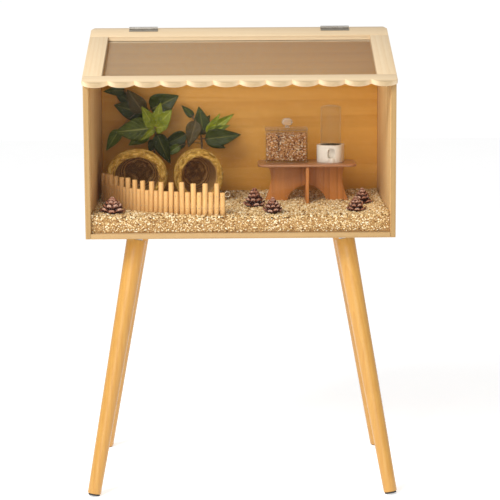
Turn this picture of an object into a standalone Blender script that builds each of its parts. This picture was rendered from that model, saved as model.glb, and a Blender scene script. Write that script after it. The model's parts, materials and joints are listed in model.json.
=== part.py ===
"""Hamster cage on legs: a wooden case with a clear front pane and a hinged, scalloped mesh lid.

The case holds its furnishings: a deep layer of bedding, a stick fence, two straw nests, two vines,
a plywood platform with a feeder and a water bottle on it, and pine cones.
Metres, +Z up. The front faces -Y. The origin is on the ground under the middle of the case.
"""

import math

import bmesh
import bpy
from mathutils import Matrix, Vector

for old in list(bpy.data.objects):
    bpy.data.objects.remove(old, do_unlink=True)

# Case and lid
CASE_WIDTH = 0.600
CASE_DEPTH = 0.350
UNDERSIDE = 0.510
TOP = 0.903
BOARD = 0.010
GAP = 0.0003
LID_PITCH = math.radians(18.3)
RIDGE_DEPTH = 0.090
LID_SIDE_OVERHANG = 0.002
LID_FRONT_OVERHANG = 0.015
RAIL = 0.039
STILE = 0.037
LOBES = 12
LOBE_DEPTH = 0.014
LOBE_STEPS = 6
MESH_THICKNESS = 0.0008
MESH_LAP = 0.009
BEAD_THICKNESS = 0.003
DOWEL_RADIUS = 0.0025
DOWEL_LENGTH = 0.028

# Front pane and its grooves
PANE = 0.003
PANE_SETBACK = 0.0048
GROOVE_DEPTH = 0.004
FLOOR_GROOVE_DEPTH = 0.003
PANE_CLEARANCE = 0.0065
PANE_SIDE_PLAY = 0.0005

# Hinges
HINGE_X = 0.195
HINGE_LENGTH = 0.058
HINGE_LIFT = 0.003
KNUCKLES = 5
KNUCKLE_RADIUS = 0.0026
PIN_BORE = 0.00125
PIN_RADIUS = 0.00115
LEAF_THICKNESS = 0.0012
LEAF_NEAR = 0.003
LEAF_FAR = 0.014
LEAF_SCREW_ROW = 0.009
LEAF_SCREW_SPACING = 0.019
LEAF_SCREW_HOLE = 0.0019
TAB_LAP = 0.0003

# Legs
LEG_TOP_X = 0.207
LEG_TOP_Y = 0.097
SPLAY_X = 0.086
SPLAY_Y = 0.088
LEG_TOP_RADIUS = 0.0153
LEG_FOOT_RADIUS = 0.0132
PLATE_SIZE = 0.060
PLATE_THICKNESS = 0.0025
COLLAR_RADIUS = 0.015
COLLAR_LENGTH = 0.012
BOLT_RADIUS = 0.004
BOLT_END = 0.045
BOLT_START = 0.0017
BOLT_CLEARANCE = 0.0003
BOLT_HOLE_SPARE = 0.004
PAD_RADIUS = 0.0115
PAD_THICKNESS = 0.003
PAD_TRIM = 0.0012

# Furnishings
BEDDING_DEPTH = 0.032
NEST_LEFT_X = -0.2105
NEST_LEFT_HALF_WIDTH = 0.0630
STICK_RADIUS = 0.0052
STICK_SPACE = 0.001
FENCE_NEST_GAP = 0.0008
# The line of the sticks' middles. It ends between the side panel and the left nest.
FENCE_ROUTE = (
    (-0.0345, -0.152),
    (-0.075, -0.1505),
    (-0.118, -0.142),
    (-0.160, -0.122),
    (-0.200, -0.090),
    (-0.234, -0.050),
    (-0.260, -0.008),
    (NEST_LEFT_X - NEST_LEFT_HALF_WIDTH - FENCE_NEST_GAP - STICK_RADIUS, 0.038),
)
STICK_TALL = 0.0645
STICK_SHORT = 0.0455
FENCE_WIRE_RADIUS = 0.0008
FENCE_WIRE_HEIGHTS = (0.014, 0.037)
FENCE_RING_RADIUS = 0.0042

NEST_WALL = 0.009
NEST_HEIGHT = 0.111
NEST_LENGTH = 0.092
NEST_RIM_CROWN = 0.008

PLATFORM_X = 0.136
PLATFORM_WIDTH = 0.200
PLATFORM_FRONT = -0.005
PLATFORM_BACK = 0.092
PLATFORM_TOP = 0.634
PLATFORM_BOARD = 0.006
PLATFORM_CORNER = 0.020
SUPPORT_BOARD = 0.0065
LONG_SUPPORT_Y = 0.048
LONG_HALF_TOP = 0.080
LONG_HALF_WAIST = 0.0695
LONG_HALF_FOOT = 0.0865
CROSS_FRONT = 0.0
CROSS_BACK = 0.088
ARCH_RADIUS = 0.041
ARCH_RISE = 0.034
LAP_HEIGHT = 0.607
LAP_GAP = 0.0005

FEEDER_LEFT = 0.0515
FEEDER_RIGHT = 0.1385
FEEDER_FRONT = 0.030
FEEDER_BACK = 0.086
FEEDER_HEIGHT = 0.0655
FEEDER_WALL = 0.002
FEEDER_DIVIDER = 0.027
FEEDER_DIVIDER_BOTTOM = 0.025
FEEDER_HOLE_RADIUS = 0.0085
FEEDER_HOLE_HEIGHT = 0.034
FEEDER_LID = 0.003
FEEDER_LID_LIP = 0.002
FOOD_DEPTH = 0.0575
KNOB_RADIUS = 0.012
KNOB_HEIGHT = 0.0195
KNOB_OFFSET = 0.002
FEEDER_LID_FIT = 0.0005

BOTTLE_X = 0.185
BOTTLE_Y = 0.047
BOTTLE_BASE_SIZE = 0.0525
BOTTLE_BASE_HEIGHT = 0.0350
BOTTLE_BASE_CORNER = 0.016
BOTTLE_BASE_TURN = math.radians(-16.0)
TUBE_X = 0.1855
TUBE_RADIUS = 0.0212
TUBE_WALL = 0.0015
TUBE_HEIGHT = 0.0880
SOCKET_DEPTH = 0.007
SOCKET_FIT = 0.0005
TROUGH_WIDTH = 0.016
TROUGH_FLOOR = 0.010
TROUGH_DEPTH = 0.012
TROUGH_OFFSET = 0.00784
NOTCH_MARGIN = 0.0055
LIP_RADIUS = 0.0085
LIP_HEIGHT = 0.009
LIP_WALL = 0.0018
TUB_DEPTH = 0.004
TUB_RISE = 0.002

# Pine cones: x, y, radius, height, then the shares that shape their tiers
CONES = (
    (-0.2500, -0.130, 0.0290, 0.0280),
    (0.0280, -0.048, 0.0265, 0.0410),
    (0.0630, -0.130, 0.0235, 0.0300),
    (0.2460, -0.012, 0.0235, 0.0350),
    (0.2270, -0.115, 0.0225, 0.0290),
)
CONE_TIERS = 4
CONE_SIDES = 12
CONE_TOP_SHARE = 0.38
CONE_SWELL = 2.1
CONE_NOTCH = 0.62
CONE_TIER_RISE = 0.10

# Vines: the routes of the stems, then each leaf's foot, tip and width
LEAF_SHEET = 0.0012
STEM_RADIUS = 0.0018
TWIG_RADIUS = 0.0009
TWIG_LAP = 0.004
LEFT_STEM = (
    (-0.178, 0.140, 0.5523),
    (-0.179, 0.139, 0.620),
    (-0.177, 0.138, 0.696),
    (-0.187, 0.137, 0.729),
    (-0.203, 0.138, 0.733),
    (-0.238, 0.143, 0.774),
)
LEFT_LEAVES = (
    ((-0.239, 0.145, 0.775), (-0.284, 0.145, 0.773), 0.015),
    ((-0.206, 0.140, 0.728), (-0.259, 0.142, 0.743), 0.029),
    ((-0.201, 0.131, 0.731), (-0.231, 0.129, 0.775), 0.027),
    ((-0.185, 0.136, 0.737), (-0.130, 0.133, 0.761), 0.036),
    ((-0.176, 0.106, 0.700), (-0.151, 0.102, 0.744), 0.050),
    ((-0.177, 0.108, 0.699), (-0.201, 0.104, 0.742), 0.026),
    ((-0.176, 0.118, 0.699), (-0.205, 0.116, 0.676), 0.013),
    ((-0.185, 0.121, 0.698), (-0.257, 0.118, 0.690), 0.042),
    ((-0.251, 0.130, 0.694), (-0.277, 0.129, 0.653), 0.021),
    ((-0.173, 0.130, 0.685), (-0.147, 0.132, 0.628), 0.025),
)
RIGHT_STEM = (
    (-0.078, 0.142, 0.5523),
    (-0.079, 0.141, 0.610),
    (-0.081, 0.140, 0.678),
    (-0.086, 0.138, 0.700),
    (-0.097, 0.141, 0.719),
)
RIGHT_LEAVES = (
    ((-0.097, 0.143, 0.719), (-0.120, 0.145, 0.741), 0.010),
    ((-0.112, 0.141, 0.683), (-0.163, 0.142, 0.656), 0.021),
    ((-0.125, 0.136, 0.660), (-0.155, 0.135, 0.640), 0.015),
    ((-0.075, 0.135, 0.684), (-0.084, 0.134, 0.739), 0.027),
    ((-0.091, 0.126, 0.712), (-0.106, 0.126, 0.660), 0.025),
    ((-0.069, 0.125, 0.689), (-0.016, 0.123, 0.723), 0.025),
    ((-0.073, 0.121, 0.676), (-0.002, 0.120, 0.684), 0.029),
)

# Places worked out from the sizes above
HALF_WIDTH = CASE_WIDTH / 2
INNER_X = HALF_WIDTH - BOARD
FRONT_Y = -CASE_DEPTH / 2
BACK_Y = CASE_DEPTH / 2
RIDGE_Y = BACK_Y - RIDGE_DEPTH
FLOOR_TOP = UNDERSIDE + BOARD
PITCH_TAN = math.tan(LID_PITCH)
LID_LENGTH = (RIDGE_Y - FRONT_Y + LID_FRONT_OVERHANG) / math.cos(LID_PITCH)
LID_HALF = HALF_WIDTH + LID_SIDE_OVERHANG
HINGE_SHIFT = HINGE_LIFT * math.tan(LID_PITCH / 2)
HINGE_Y = RIDGE_Y - HINGE_SHIFT
HINGE_Z = TOP + HINGE_LIFT
PANE_FRONT = FRONT_Y + PANE_SETBACK
PANE_BACK = PANE_FRONT + PANE
BEDDING_TOP = FLOOR_TOP + BEDDING_DEPTH
STANDING = BEDDING_TOP + GAP

# Looks: colour, roughness, metallic, alpha
PINE = ((0.84, 0.66, 0.42), 0.55, 0.0, 1.0)
PINE_PALE = ((0.89, 0.73, 0.50), 0.55, 0.0, 1.0)
HONEY = ((0.80, 0.46, 0.13), 0.35, 0.0, 1.0)
PLYWOOD = ((0.30, 0.13, 0.05), 0.6, 0.0, 1.0)
CLEAR = ((0.92, 0.94, 0.94), 0.05, 0.0, 0.25)
STEEL = ((0.62, 0.61, 0.58), 0.35, 1.0, 1.0)
WIRE_MESH = ((0.42, 0.37, 0.31), 0.5, 0.8, 1.0)
RUBBER = ((0.02, 0.02, 0.02), 0.8, 0.0, 1.0)
PELLETS = ((0.58, 0.37, 0.15), 0.9, 0.0, 1.0)
GRAIN = ((0.30, 0.12, 0.04), 0.8, 0.0, 1.0)
IVORY = ((0.76, 0.66, 0.52), 0.35, 0.0, 1.0)
STRAW = ((0.30, 0.17, 0.04), 0.85, 0.0, 1.0)
STICK = ((0.62, 0.36, 0.13), 0.6, 0.0, 1.0)
CONE_BROWN = ((0.09, 0.03, 0.015), 0.75, 0.0, 1.0)
LEAF_GREEN = ((0.05, 0.07, 0.01), 0.5, 0.0, 1.0)

parts = bpy.data.collections.new("hamster_cage")
cutters = bpy.data.collections.new("cutters")
bpy.context.scene.collection.children.link(parts)
bpy.context.scene.collection.children.link(cutters)


def material(name, look):
    colour, roughness, metallic, alpha = look
    made = bpy.data.materials.new(name)
    made.use_nodes = True
    shader = made.node_tree.nodes["Principled BSDF"]
    shader.inputs["Base Color"].default_value = (*colour, 1.0)
    shader.inputs["Roughness"].default_value = roughness
    shader.inputs["Metallic"].default_value = metallic
    shader.inputs["Alpha"].default_value = alpha
    return made


def empty(name, place):
    made = bpy.data.objects.new(name, None)
    made.empty_display_size = 0.03
    parts.objects.link(made)
    made.matrix_basis = place
    return made


def add(name, shape, look, parent=None, place=None):
    """A named part from a bmesh, given in its parent's frame."""
    shape.normal_update()
    bmesh.ops.recalc_face_normals(shape, faces=shape.faces)
    mesh = bpy.data.meshes.new(name)
    shape.to_mesh(mesh)
    shape.free()
    mesh.shade_smooth()
    mesh.set_sharp_from_angle(angle=math.radians(35))
    mesh.materials.append(material(name, look))
    made = bpy.data.objects.new(name, mesh)
    parts.objects.link(made)
    if parent:
        made.parent = parent
    if place:
        made.matrix_basis = place
    return made


def helper(target, shape, operation):
    """Adds the shape to the target, or cuts it away. The shape is given in the target's own frame."""
    shape.normal_update()
    bmesh.ops.recalc_face_normals(shape, faces=shape.faces)
    mesh = bpy.data.meshes.new(target.name + "_helper")
    shape.to_mesh(mesh)
    shape.free()
    made = bpy.data.objects.new(mesh.name, mesh)
    cutters.objects.link(made)
    made.parent = target.parent
    made.matrix_basis = target.matrix_basis
    made.hide_render = True
    made.display_type = "WIRE"
    modifier = target.modifiers.new(operation.lower(), "BOOLEAN")
    modifier.operation = operation
    modifier.solver = "EXACT"
    modifier.object = made


def cut(target, shape):
    helper(target, shape, "DIFFERENCE")


def join(target, shape):
    helper(target, shape, "UNION")


def box(low, high):
    shape = bmesh.new()
    low = Vector(low)
    high = Vector(high)
    size = high - low
    place = Matrix.Translation((low + high) / 2) @ Matrix.Diagonal((*size, 1.0))
    bmesh.ops.create_cube(shape, size=1.0, matrix=place)
    return shape


def rod(start, end, radius, end_radius=None, sides=16):
    shape = bmesh.new()
    start = Vector(start)
    end = Vector(end)
    span = end - start
    turn = span.to_track_quat("Z", "Y").to_matrix().to_4x4()
    bmesh.ops.create_cone(
        shape,
        cap_ends=True,
        segments=sides,
        radius1=radius,
        radius2=radius if end_radius is None else end_radius,
        depth=span.length,
        matrix=Matrix.Translation((start + end) / 2) @ turn,
    )
    return shape


def shape_of_curve(curve):
    """The closed mesh of a curve, with its caps welded."""
    guide = bpy.data.objects.new("guide", curve)
    bpy.context.scene.collection.objects.link(guide)
    graph = bpy.context.evaluated_depsgraph_get()
    mesh = bpy.data.meshes.new_from_object(guide.evaluated_get(graph))
    shape = bmesh.new()
    shape.from_mesh(mesh)
    bmesh.ops.remove_doubles(shape, verts=shape.verts, dist=0.000001)
    bmesh.ops.dissolve_limit(shape, angle_limit=0.001, verts=shape.verts, edges=shape.edges)
    bpy.data.objects.remove(guide, do_unlink=True)
    return shape


def board(outline, low, high):
    """A flat board with one outline, between two heights."""
    shape = bmesh.new()
    corners = [shape.verts.new((x, y, low)) for x, y in outline]
    face = shape.faces.new(corners)
    raised = bmesh.ops.extrude_face_region(shape, geom=[face])
    moved = [item for item in raised["geom"] if isinstance(item, bmesh.types.BMVert)]
    bmesh.ops.translate(shape, verts=moved, vec=(0.0, 0.0, high - low))
    return shape


def pierced(outlines, low, high):
    """A flat board from its outline and the outlines of its holes, between two heights."""
    curve = bpy.data.curves.new("outline", "CURVE")
    curve.dimensions = "2D"
    curve.fill_mode = "BOTH"
    curve.extrude = (high - low) / 2
    for outline in outlines:
        spline = curve.splines.new("POLY")
        spline.points.add(len(outline) - 1)
        for point, (x, y) in zip(spline.points, outline):
            point.co = (x, y, 0.0, 1.0)
        spline.use_cyclic_u = True
    shape = shape_of_curve(curve)
    bmesh.ops.translate(shape, verts=shape.verts, vec=(0.0, 0.0, (low + high) / 2))
    return shape


def wire(points, radius, closed=False):
    curve = bpy.data.curves.new("wire", "CURVE")
    curve.dimensions = "3D"
    curve.bevel_depth = radius
    curve.bevel_resolution = 1
    curve.use_fill_caps = True
    spline = curve.splines.new("POLY")
    spline.points.add(len(points) - 1)
    for point, place in zip(spline.points, points):
        point.co = (*place, 1.0)
    spline.use_cyclic_u = closed
    return shape_of_curve(curve)


def turned(name, profile, steps, look, place):
    """A part turned about its own Z from (radius, height) points that run down its outer side."""
    mesh = bpy.data.meshes.new(name)
    shape = bmesh.new()
    corners = [shape.verts.new((radius, 0.0, height)) for radius, height in profile]
    for first, second in zip(corners, corners[1:]):
        shape.edges.new((first, second))
    shape.to_mesh(mesh)
    shape.free()
    mesh.materials.append(material(name, look))
    made = bpy.data.objects.new(name, mesh)
    parts.objects.link(made)
    made.matrix_basis = place
    screw = made.modifiers.new("turn", "SCREW")
    screw.steps = steps
    screw.render_steps = steps
    screw.use_merge_vertices = True
    screw.merge_threshold = 0.00001
    screw.use_smooth_shade = True
    return made


def arc(centre, radius, start, end, steps):
    """Points on an arc from one angle to the other, in degrees."""
    points = []
    for step in range(steps + 1):
        angle = math.radians(start + (end - start) * step / steps)
        points.append((centre[0] + radius * math.cos(angle), centre[1] + radius * math.sin(angle)))
    return points


def rounded(half_x, half_y, radius, steps=4):
    """A rectangle's outline with rounded corners, centred on the origin."""
    points = []
    for turn, (sign_x, sign_y) in enumerate(((1, 1), (-1, 1), (-1, -1), (1, -1))):
        centre = (sign_x * (half_x - radius), sign_y * (half_y - radius))
        points += arc(centre, radius, 90 * turn, 90 * turn + 90, steps)
    return points


def smooth_route(points, steps=12):
    """Points along a smooth curve that passes through the given ones."""
    first = [2 * a - b for a, b in zip(points[0], points[1])]
    last = [2 * a - b for a, b in zip(points[-1], points[-2])]
    ends = [Vector(place) for place in (first, *points, last)]
    route = []
    for a, b, c, d in zip(ends, ends[1:], ends[2:], ends[3:]):
        for step in range(steps):
            t = step / steps
            bend = (2 * a - 5 * b + 4 * c - d) * t**2 + (3 * b - a - 3 * c + d) * t**3
            route.append(0.5 * (2 * b + (c - a) * t + bend))
    route.append(ends[-2])
    return route


def even_places(route, spacing):
    """Places along a route that lie one spacing apart."""
    places = [route[0]]
    left = spacing
    for start, end in zip(route, route[1:]):
        length = (end - start).length
        done = 0.0
        while length - done >= left:
            done += left
            places.append(start + (end - start) * (done / length))
            left = spacing
        left -= length - done
    return places


def underside(y):
    """The height of the closed lid's underside over a line across the case."""
    return TOP - (RIDGE_Y - y) * PITCH_TAN - BOARD / math.cos(LID_PITCH)


def make_case():
    side_top = TOP - BOARD - GAP
    meet = RIDGE_Y + (side_top + GAP - underside(RIDGE_Y)) / PITCH_TAN
    profile = [
        (FRONT_Y, UNDERSIDE),
        (BACK_Y, UNDERSIDE),
        (BACK_Y, side_top),
        (meet, side_top),
        (FRONT_Y, underside(FRONT_Y) - GAP),
    ]
    groove_front = PANE_FRONT - GAP
    groove_back = PANE_BACK + GAP
    groove_floor = FLOOR_TOP - FLOOR_GROOVE_DEPTH
    upright = Matrix(((0, 0, 1, 0), (1, 0, 0, 0), (0, 1, 0, 0), (0, 0, 0, 1)))
    for name, sign in (("side_panel_left", -1), ("side_panel_right", 1)):
        shape = board(profile, *sorted((sign * INNER_X, sign * HALF_WIDTH)))
        shape.transform(upright)
        side = add(name, shape, PINE)
        near, far = sorted((sign * (INNER_X - BOARD), sign * (INNER_X + GROOVE_DEPTH)))
        cut(side, box((near, groove_front, groove_floor), (far, groove_back, TOP)))

    fit_x = INNER_X - GAP
    floor = add("floor_panel", box((-fit_x, FRONT_Y, UNDERSIDE), (fit_x, BACK_Y, FLOOR_TOP)), PINE)
    cut(floor, box((-HALF_WIDTH, groove_front, groove_floor), (HALF_WIDTH, groove_back, TOP)))
    back_low = (-fit_x, BACK_Y - BOARD, FLOOR_TOP + GAP)
    add("back_panel", box(back_low, (fit_x, BACK_Y, side_top)), PINE)
    add("ridge_board", box((-LID_HALF, RIDGE_Y, TOP - BOARD), (LID_HALF, BACK_Y, TOP)), PINE_PALE)

    pane_x = INNER_X + GROOVE_DEPTH - PANE_SIDE_PLAY
    pane_top = underside(PANE_FRONT) - PANE_CLEARANCE
    pane_low = (-pane_x, PANE_FRONT, groove_floor + GAP)
    add("front_pane", box(pane_low, (pane_x, PANE_BACK, pane_top)), CLEAR)


def make_lid():
    """Everything is in the frame of the hinge axis: down the slope is -Y, and the lid hangs below."""
    slope = Matrix.Rotation(LID_PITCH, 4, "X")
    axis = empty("lid_axis", Matrix.Translation((0.0, HINGE_Y, HINGE_Z)) @ slope)
    top = -HINGE_LIFT
    bottom = top - BOARD
    rail_end = LID_LENGTH - RAIL

    def down(distance):
        return -HINGE_SHIFT - distance

    rear = [
        (down(2 * GAP), top),
        (down(BOARD * PITCH_TAN + 2 * GAP), bottom),
        (down(RAIL), bottom),
        (down(RAIL), top),
    ]
    shape = board(rear, -LID_HALF, LID_HALF)
    shape.transform(Matrix(((0, 0, 1, 0), (1, 0, 0, 0), (0, 1, 0, 0), (0, 0, 0, 1))))
    rear_rail = add("lid_rail_rear", shape, PINE_PALE, axis)

    pitch = 2 * LID_HALF / LOBES
    half_angle = 2 * math.degrees(math.atan(LOBE_DEPTH / (pitch / 2)))
    lobe_radius = pitch / 2 / math.sin(math.radians(half_angle))
    outline = [(LID_HALF, down(rail_end)), (-LID_HALF, down(rail_end))]
    for lobe in range(LOBES):
        centre = (-LID_HALF + pitch * (lobe + 0.5), down(LID_LENGTH - lobe_radius))
        edge = arc(centre, lobe_radius, 270 - half_angle, 270 + half_angle, LOBE_STEPS)
        outline += edge[1:] if lobe else edge
    front_rail = add("lid_rail_front", board(outline, bottom, top), PINE_PALE, axis)

    stiles = []
    for name, sign in (("lid_stile_left", -1), ("lid_stile_right", 1)):
        inner, outer = sorted((sign * (LID_HALF - STILE), sign * LID_HALF))
        low = (inner, down(rail_end - GAP), bottom)
        stiles.append(add(name, box(low, (outer, down(RAIL + GAP), top)), PINE_PALE, axis))

    dowel_x = LID_HALF - STILE / 2
    middle = (top + bottom) / 2
    joints = (
        ("left_rear", -1, RAIL),
        ("left_front", -1, rail_end),
        ("right_rear", 1, RAIL),
        ("right_front", 1, rail_end),
    )
    for name, sign, place in joints:
        start = (sign * dowel_x, down(place - DOWEL_LENGTH / 2), middle)
        end = (sign * dowel_x, down(place + DOWEL_LENGTH / 2), middle)
        add("dowel_" + name, rod(start, end, DOWEL_RADIUS, sides=10), PINE, axis)
        hole_start = (sign * dowel_x, down(place - DOWEL_LENGTH / 2 - GAP), middle)
        hole_end = (sign * dowel_x, down(place + DOWEL_LENGTH / 2 + GAP), middle)
        rail = rear_rail if place == RAIL else front_rail
        for wood in (rail, stiles[0] if sign < 0 else stiles[1]):
            cut(wood, rod(hole_start, hole_end, DOWEL_RADIUS + GAP, sides=10))

    mesh_top = bottom - GAP
    bead_top = mesh_top - MESH_THICKNESS - GAP
    open_x = LID_HALF - STILE
    lap_x = open_x + MESH_LAP
    near = down(RAIL - MESH_LAP)
    far = down(rail_end + MESH_LAP)
    add("lid_mesh", box((-lap_x, far, mesh_top - MESH_THICKNESS), (lap_x, near, mesh_top)), WIRE_MESH, axis)
    outer = [(lap_x, near), (-lap_x, near), (-lap_x, far), (lap_x, far)]
    hole_near = down(RAIL)
    hole_far = down(rail_end)
    inner = [(open_x, hole_near), (-open_x, hole_near), (-open_x, hole_far), (open_x, hole_far)]
    add("mesh_bead", pierced([outer, inner], bead_top - BEAD_THICKNESS, bead_top), PINE_PALE, axis)
    return axis


def leaf(name, mine, parent, place):
    """A hinge leaf that reaches out to +Y, with its own share of the knuckles around X."""
    top = LEAF_THICKNESS + GAP - HINGE_LIFT
    bottom = GAP - HINGE_LIFT
    half = HINGE_LENGTH / 2
    plate = [(-half, LEAF_NEAR), (half, LEAF_NEAR), (half, LEAF_FAR), (-half, LEAF_FAR)]
    holes = [
        arc((LEAF_SCREW_SPACING * i, LEAF_SCREW_ROW), LEAF_SCREW_HOLE, 0, 330, 11)
        for i in (-1, 0, 1)
    ]
    made = add(name, pierced([plate, *holes], bottom, top), STEEL, parent, place)
    tab_angle = -math.degrees(math.asin(-top / KNUCKLE_RADIUS))
    section = arc((0.0, 0.0), KNUCKLE_RADIUS, tab_angle, 270, 14)
    tab_end = LEAF_NEAR + TAB_LAP
    section += [(TAB_LAP, bottom), (tab_end, bottom), (tab_end, top)]
    bore = arc((0.0, 0.0), PIN_BORE, 0, 337.5, 15)
    along_x = Matrix(((0, 0, 1, 0), (1, 0, 0, 0), (0, 1, 0, 0), (0, 0, 0, 1)))
    length = HINGE_LENGTH / KNUCKLES
    for index in mine:
        start = -half + length * index
        shape = pierced([section, bore], start + GAP / 2, start + length - GAP / 2)
        shape.transform(along_x)
        join(made, shape)
    return made


def make_hinges(lid_axis):
    half = HINGE_LENGTH / 2
    for side, x in (("left", -HINGE_X), ("right", HINGE_X)):
        centre = Matrix.Translation((x, HINGE_Y, HINGE_Z))
        leaf(f"hinge_{side}_case_leaf", (0, 2, 4), None, centre)
        turned_over = Matrix.Translation((x, 0.0, 0.0)) @ Matrix.Rotation(math.pi, 4, "Z")
        leaf(f"hinge_{side}_lid_leaf", (1, 3), lid_axis, turned_over)
        pin = rod((x - half, HINGE_Y, HINGE_Z), (x + half, HINGE_Y, HINGE_Z), PIN_RADIUS)
        add(f"hinge_{side}_pin", pin, STEEL)


def make_legs():
    for side, sign_x in (("left", -1), ("right", 1)):
        for end, sign_y in (("front", -1), ("back", 1)):
            name = f"{end}_{side}"
            head = Vector((sign_x * LEG_TOP_X, sign_y * LEG_TOP_Y, UNDERSIDE))
            way = Vector((sign_x * SPLAY_X, sign_y * SPLAY_Y, -UNDERSIDE)).normalized()
            sink = math.sqrt(1 - way.z**2) * PAD_RADIUS - PAD_TRIM
            pad_end = (UNDERSIDE - sink) / -way.z
            pad_start = pad_end - PAD_THICKNESS
            leg_start = COLLAR_LENGTH + GAP

            leg_head = head + way * leg_start
            leg_foot = head + way * (pad_start - GAP)
            leg = add("leg_" + name, rod(leg_head, leg_foot, LEG_TOP_RADIUS, LEG_FOOT_RADIUS, 20), HONEY)
            bore_radius = BOLT_RADIUS + BOLT_CLEARANCE
            bore_end = head + way * (BOLT_END + BOLT_HOLE_SPARE)
            cut(leg, rod(head, bore_end, bore_radius, sides=12))

            half = PLATE_SIZE / 2
            low = head + Vector((-half, -half, -PLATE_THICKNESS - GAP))
            plate = add("leg_plate_" + name, box(low, head + Vector((half, half, -GAP))), STEEL)
            collar_start = head + way * (PLATE_THICKNESS / 2)
            join(plate, rod(collar_start, head + way * COLLAR_LENGTH, COLLAR_RADIUS, sides=20))
            cut(plate, box(head + Vector((-half, -half, -GAP)), head + Vector((half, half, half))))
            cut(plate, rod(head - way * COLLAR_LENGTH, bore_end, bore_radius, sides=12))
            bolt = rod(head + way * BOLT_START, head + way * BOLT_END, BOLT_RADIUS, sides=12)
            add("hanger_bolt_" + name, bolt, STEEL)

            disc = rod(head + way * pad_start, head + way * pad_end, PAD_RADIUS, sides=20)
            pad = add("foot_pad_" + name, disc, RUBBER)
            reach = Vector((half, half, 0.0))
            ground = Vector((head.x + way.x * pad_end, head.y + way.y * pad_end, 0.0))
            cut(pad, box(ground - reach - Vector((0.0, 0.0, half)), ground + reach))


def make_fence():
    places = even_places(smooth_route(FENCE_ROUTE), 2 * STICK_RADIUS + STICK_SPACE)
    shape = bmesh.new()
    for index, place in enumerate(places):
        height = STICK_TALL if index % 2 else STICK_SHORT
        middle = Vector((place.x, place.y, STANDING + height / 2))
        bmesh.ops.create_cone(
            shape,
            cap_ends=True,
            segments=10,
            radius1=STICK_RADIUS,
            radius2=STICK_RADIUS,
            depth=height,
            matrix=Matrix.Translation(middle),
        )
    fence = add("fence", shape, STICK)
    for height in FENCE_WIRE_HEIGHTS:
        join(fence, wire([(p.x, p.y, STANDING + height) for p in places], FENCE_WIRE_RADIUS))
    ring_centre = places[0] + Vector((STICK_RADIUS + FENCE_RING_RADIUS, 0.0))
    ring_height = STANDING + FENCE_WIRE_HEIGHTS[1] + FENCE_RING_RADIUS
    ring = arc((ring_centre.x, ring_height), FENCE_RING_RADIUS + FENCE_WIRE_RADIUS, 0, 330, 11)
    join(fence, wire([(x, ring_centre.y, z) for x, z in ring], FENCE_WIRE_RADIUS, closed=True))


def make_nest(name, centre, front, half_width, opening, turn):
    """A woven barrel on its side, closed behind, with a thick rim around its opening."""
    full = NEST_HEIGHT / 2
    inner = full - NEST_WALL
    profile = [
        (0.0, NEST_WALL),
        (full * 0.50, NEST_WALL * 1.2),
        (inner * 0.90, NEST_LENGTH * 0.38),
        (inner, NEST_LENGTH * 0.72),
        (full * opening, NEST_LENGTH - NEST_WALL),
        (full * (opening + 0.04), NEST_LENGTH - NEST_RIM_CROWN / 4),
        (full * (opening + 0.15), NEST_LENGTH),
        (full * 0.94, NEST_LENGTH - NEST_RIM_CROWN),
        (full, NEST_LENGTH * 0.72),
        (full * 0.93, NEST_LENGTH * 0.40),
        (full * 0.72, NEST_LENGTH * 0.10),
        (full * 0.5, 0.0),
        (0.0, 0.0),
    ]
    place = (
        Matrix.Translation((centre, front + NEST_LENGTH, STANDING + full))
        @ Matrix.Rotation(turn, 4, "Z")
        @ Matrix.Rotation(math.pi / 2, 4, "X")
        @ Matrix.Diagonal((half_width / full, 1.0, 1.0, 1.0))
    )
    turned(name, profile, 24, STRAW, place)


def make_cones():
    for index, (x, y, radius, height) in enumerate(CONES):
        profile = [(0.0, height)]
        for tier in range(CONE_TIERS):
            share = (tier + 1) / CONE_TIERS
            swell = math.sin(share * CONE_SWELL) ** 0.8
            wide = radius * (CONE_TOP_SHARE + (1 - CONE_TOP_SHARE) * swell)
            low = height * (1 - share)
            profile.append((wide * CONE_NOTCH, low + height * CONE_TIER_RISE * 2))
            profile.append((wide, low + height * CONE_TIER_RISE))
        profile += [(radius * 0.72, 0.0), (0.0, 0.0)]
        stand = Matrix.Translation((x, y, STANDING))
        turned(f"pine_cone_{index + 1}", profile, CONE_SIDES, CONE_BROWN, stand)


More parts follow.
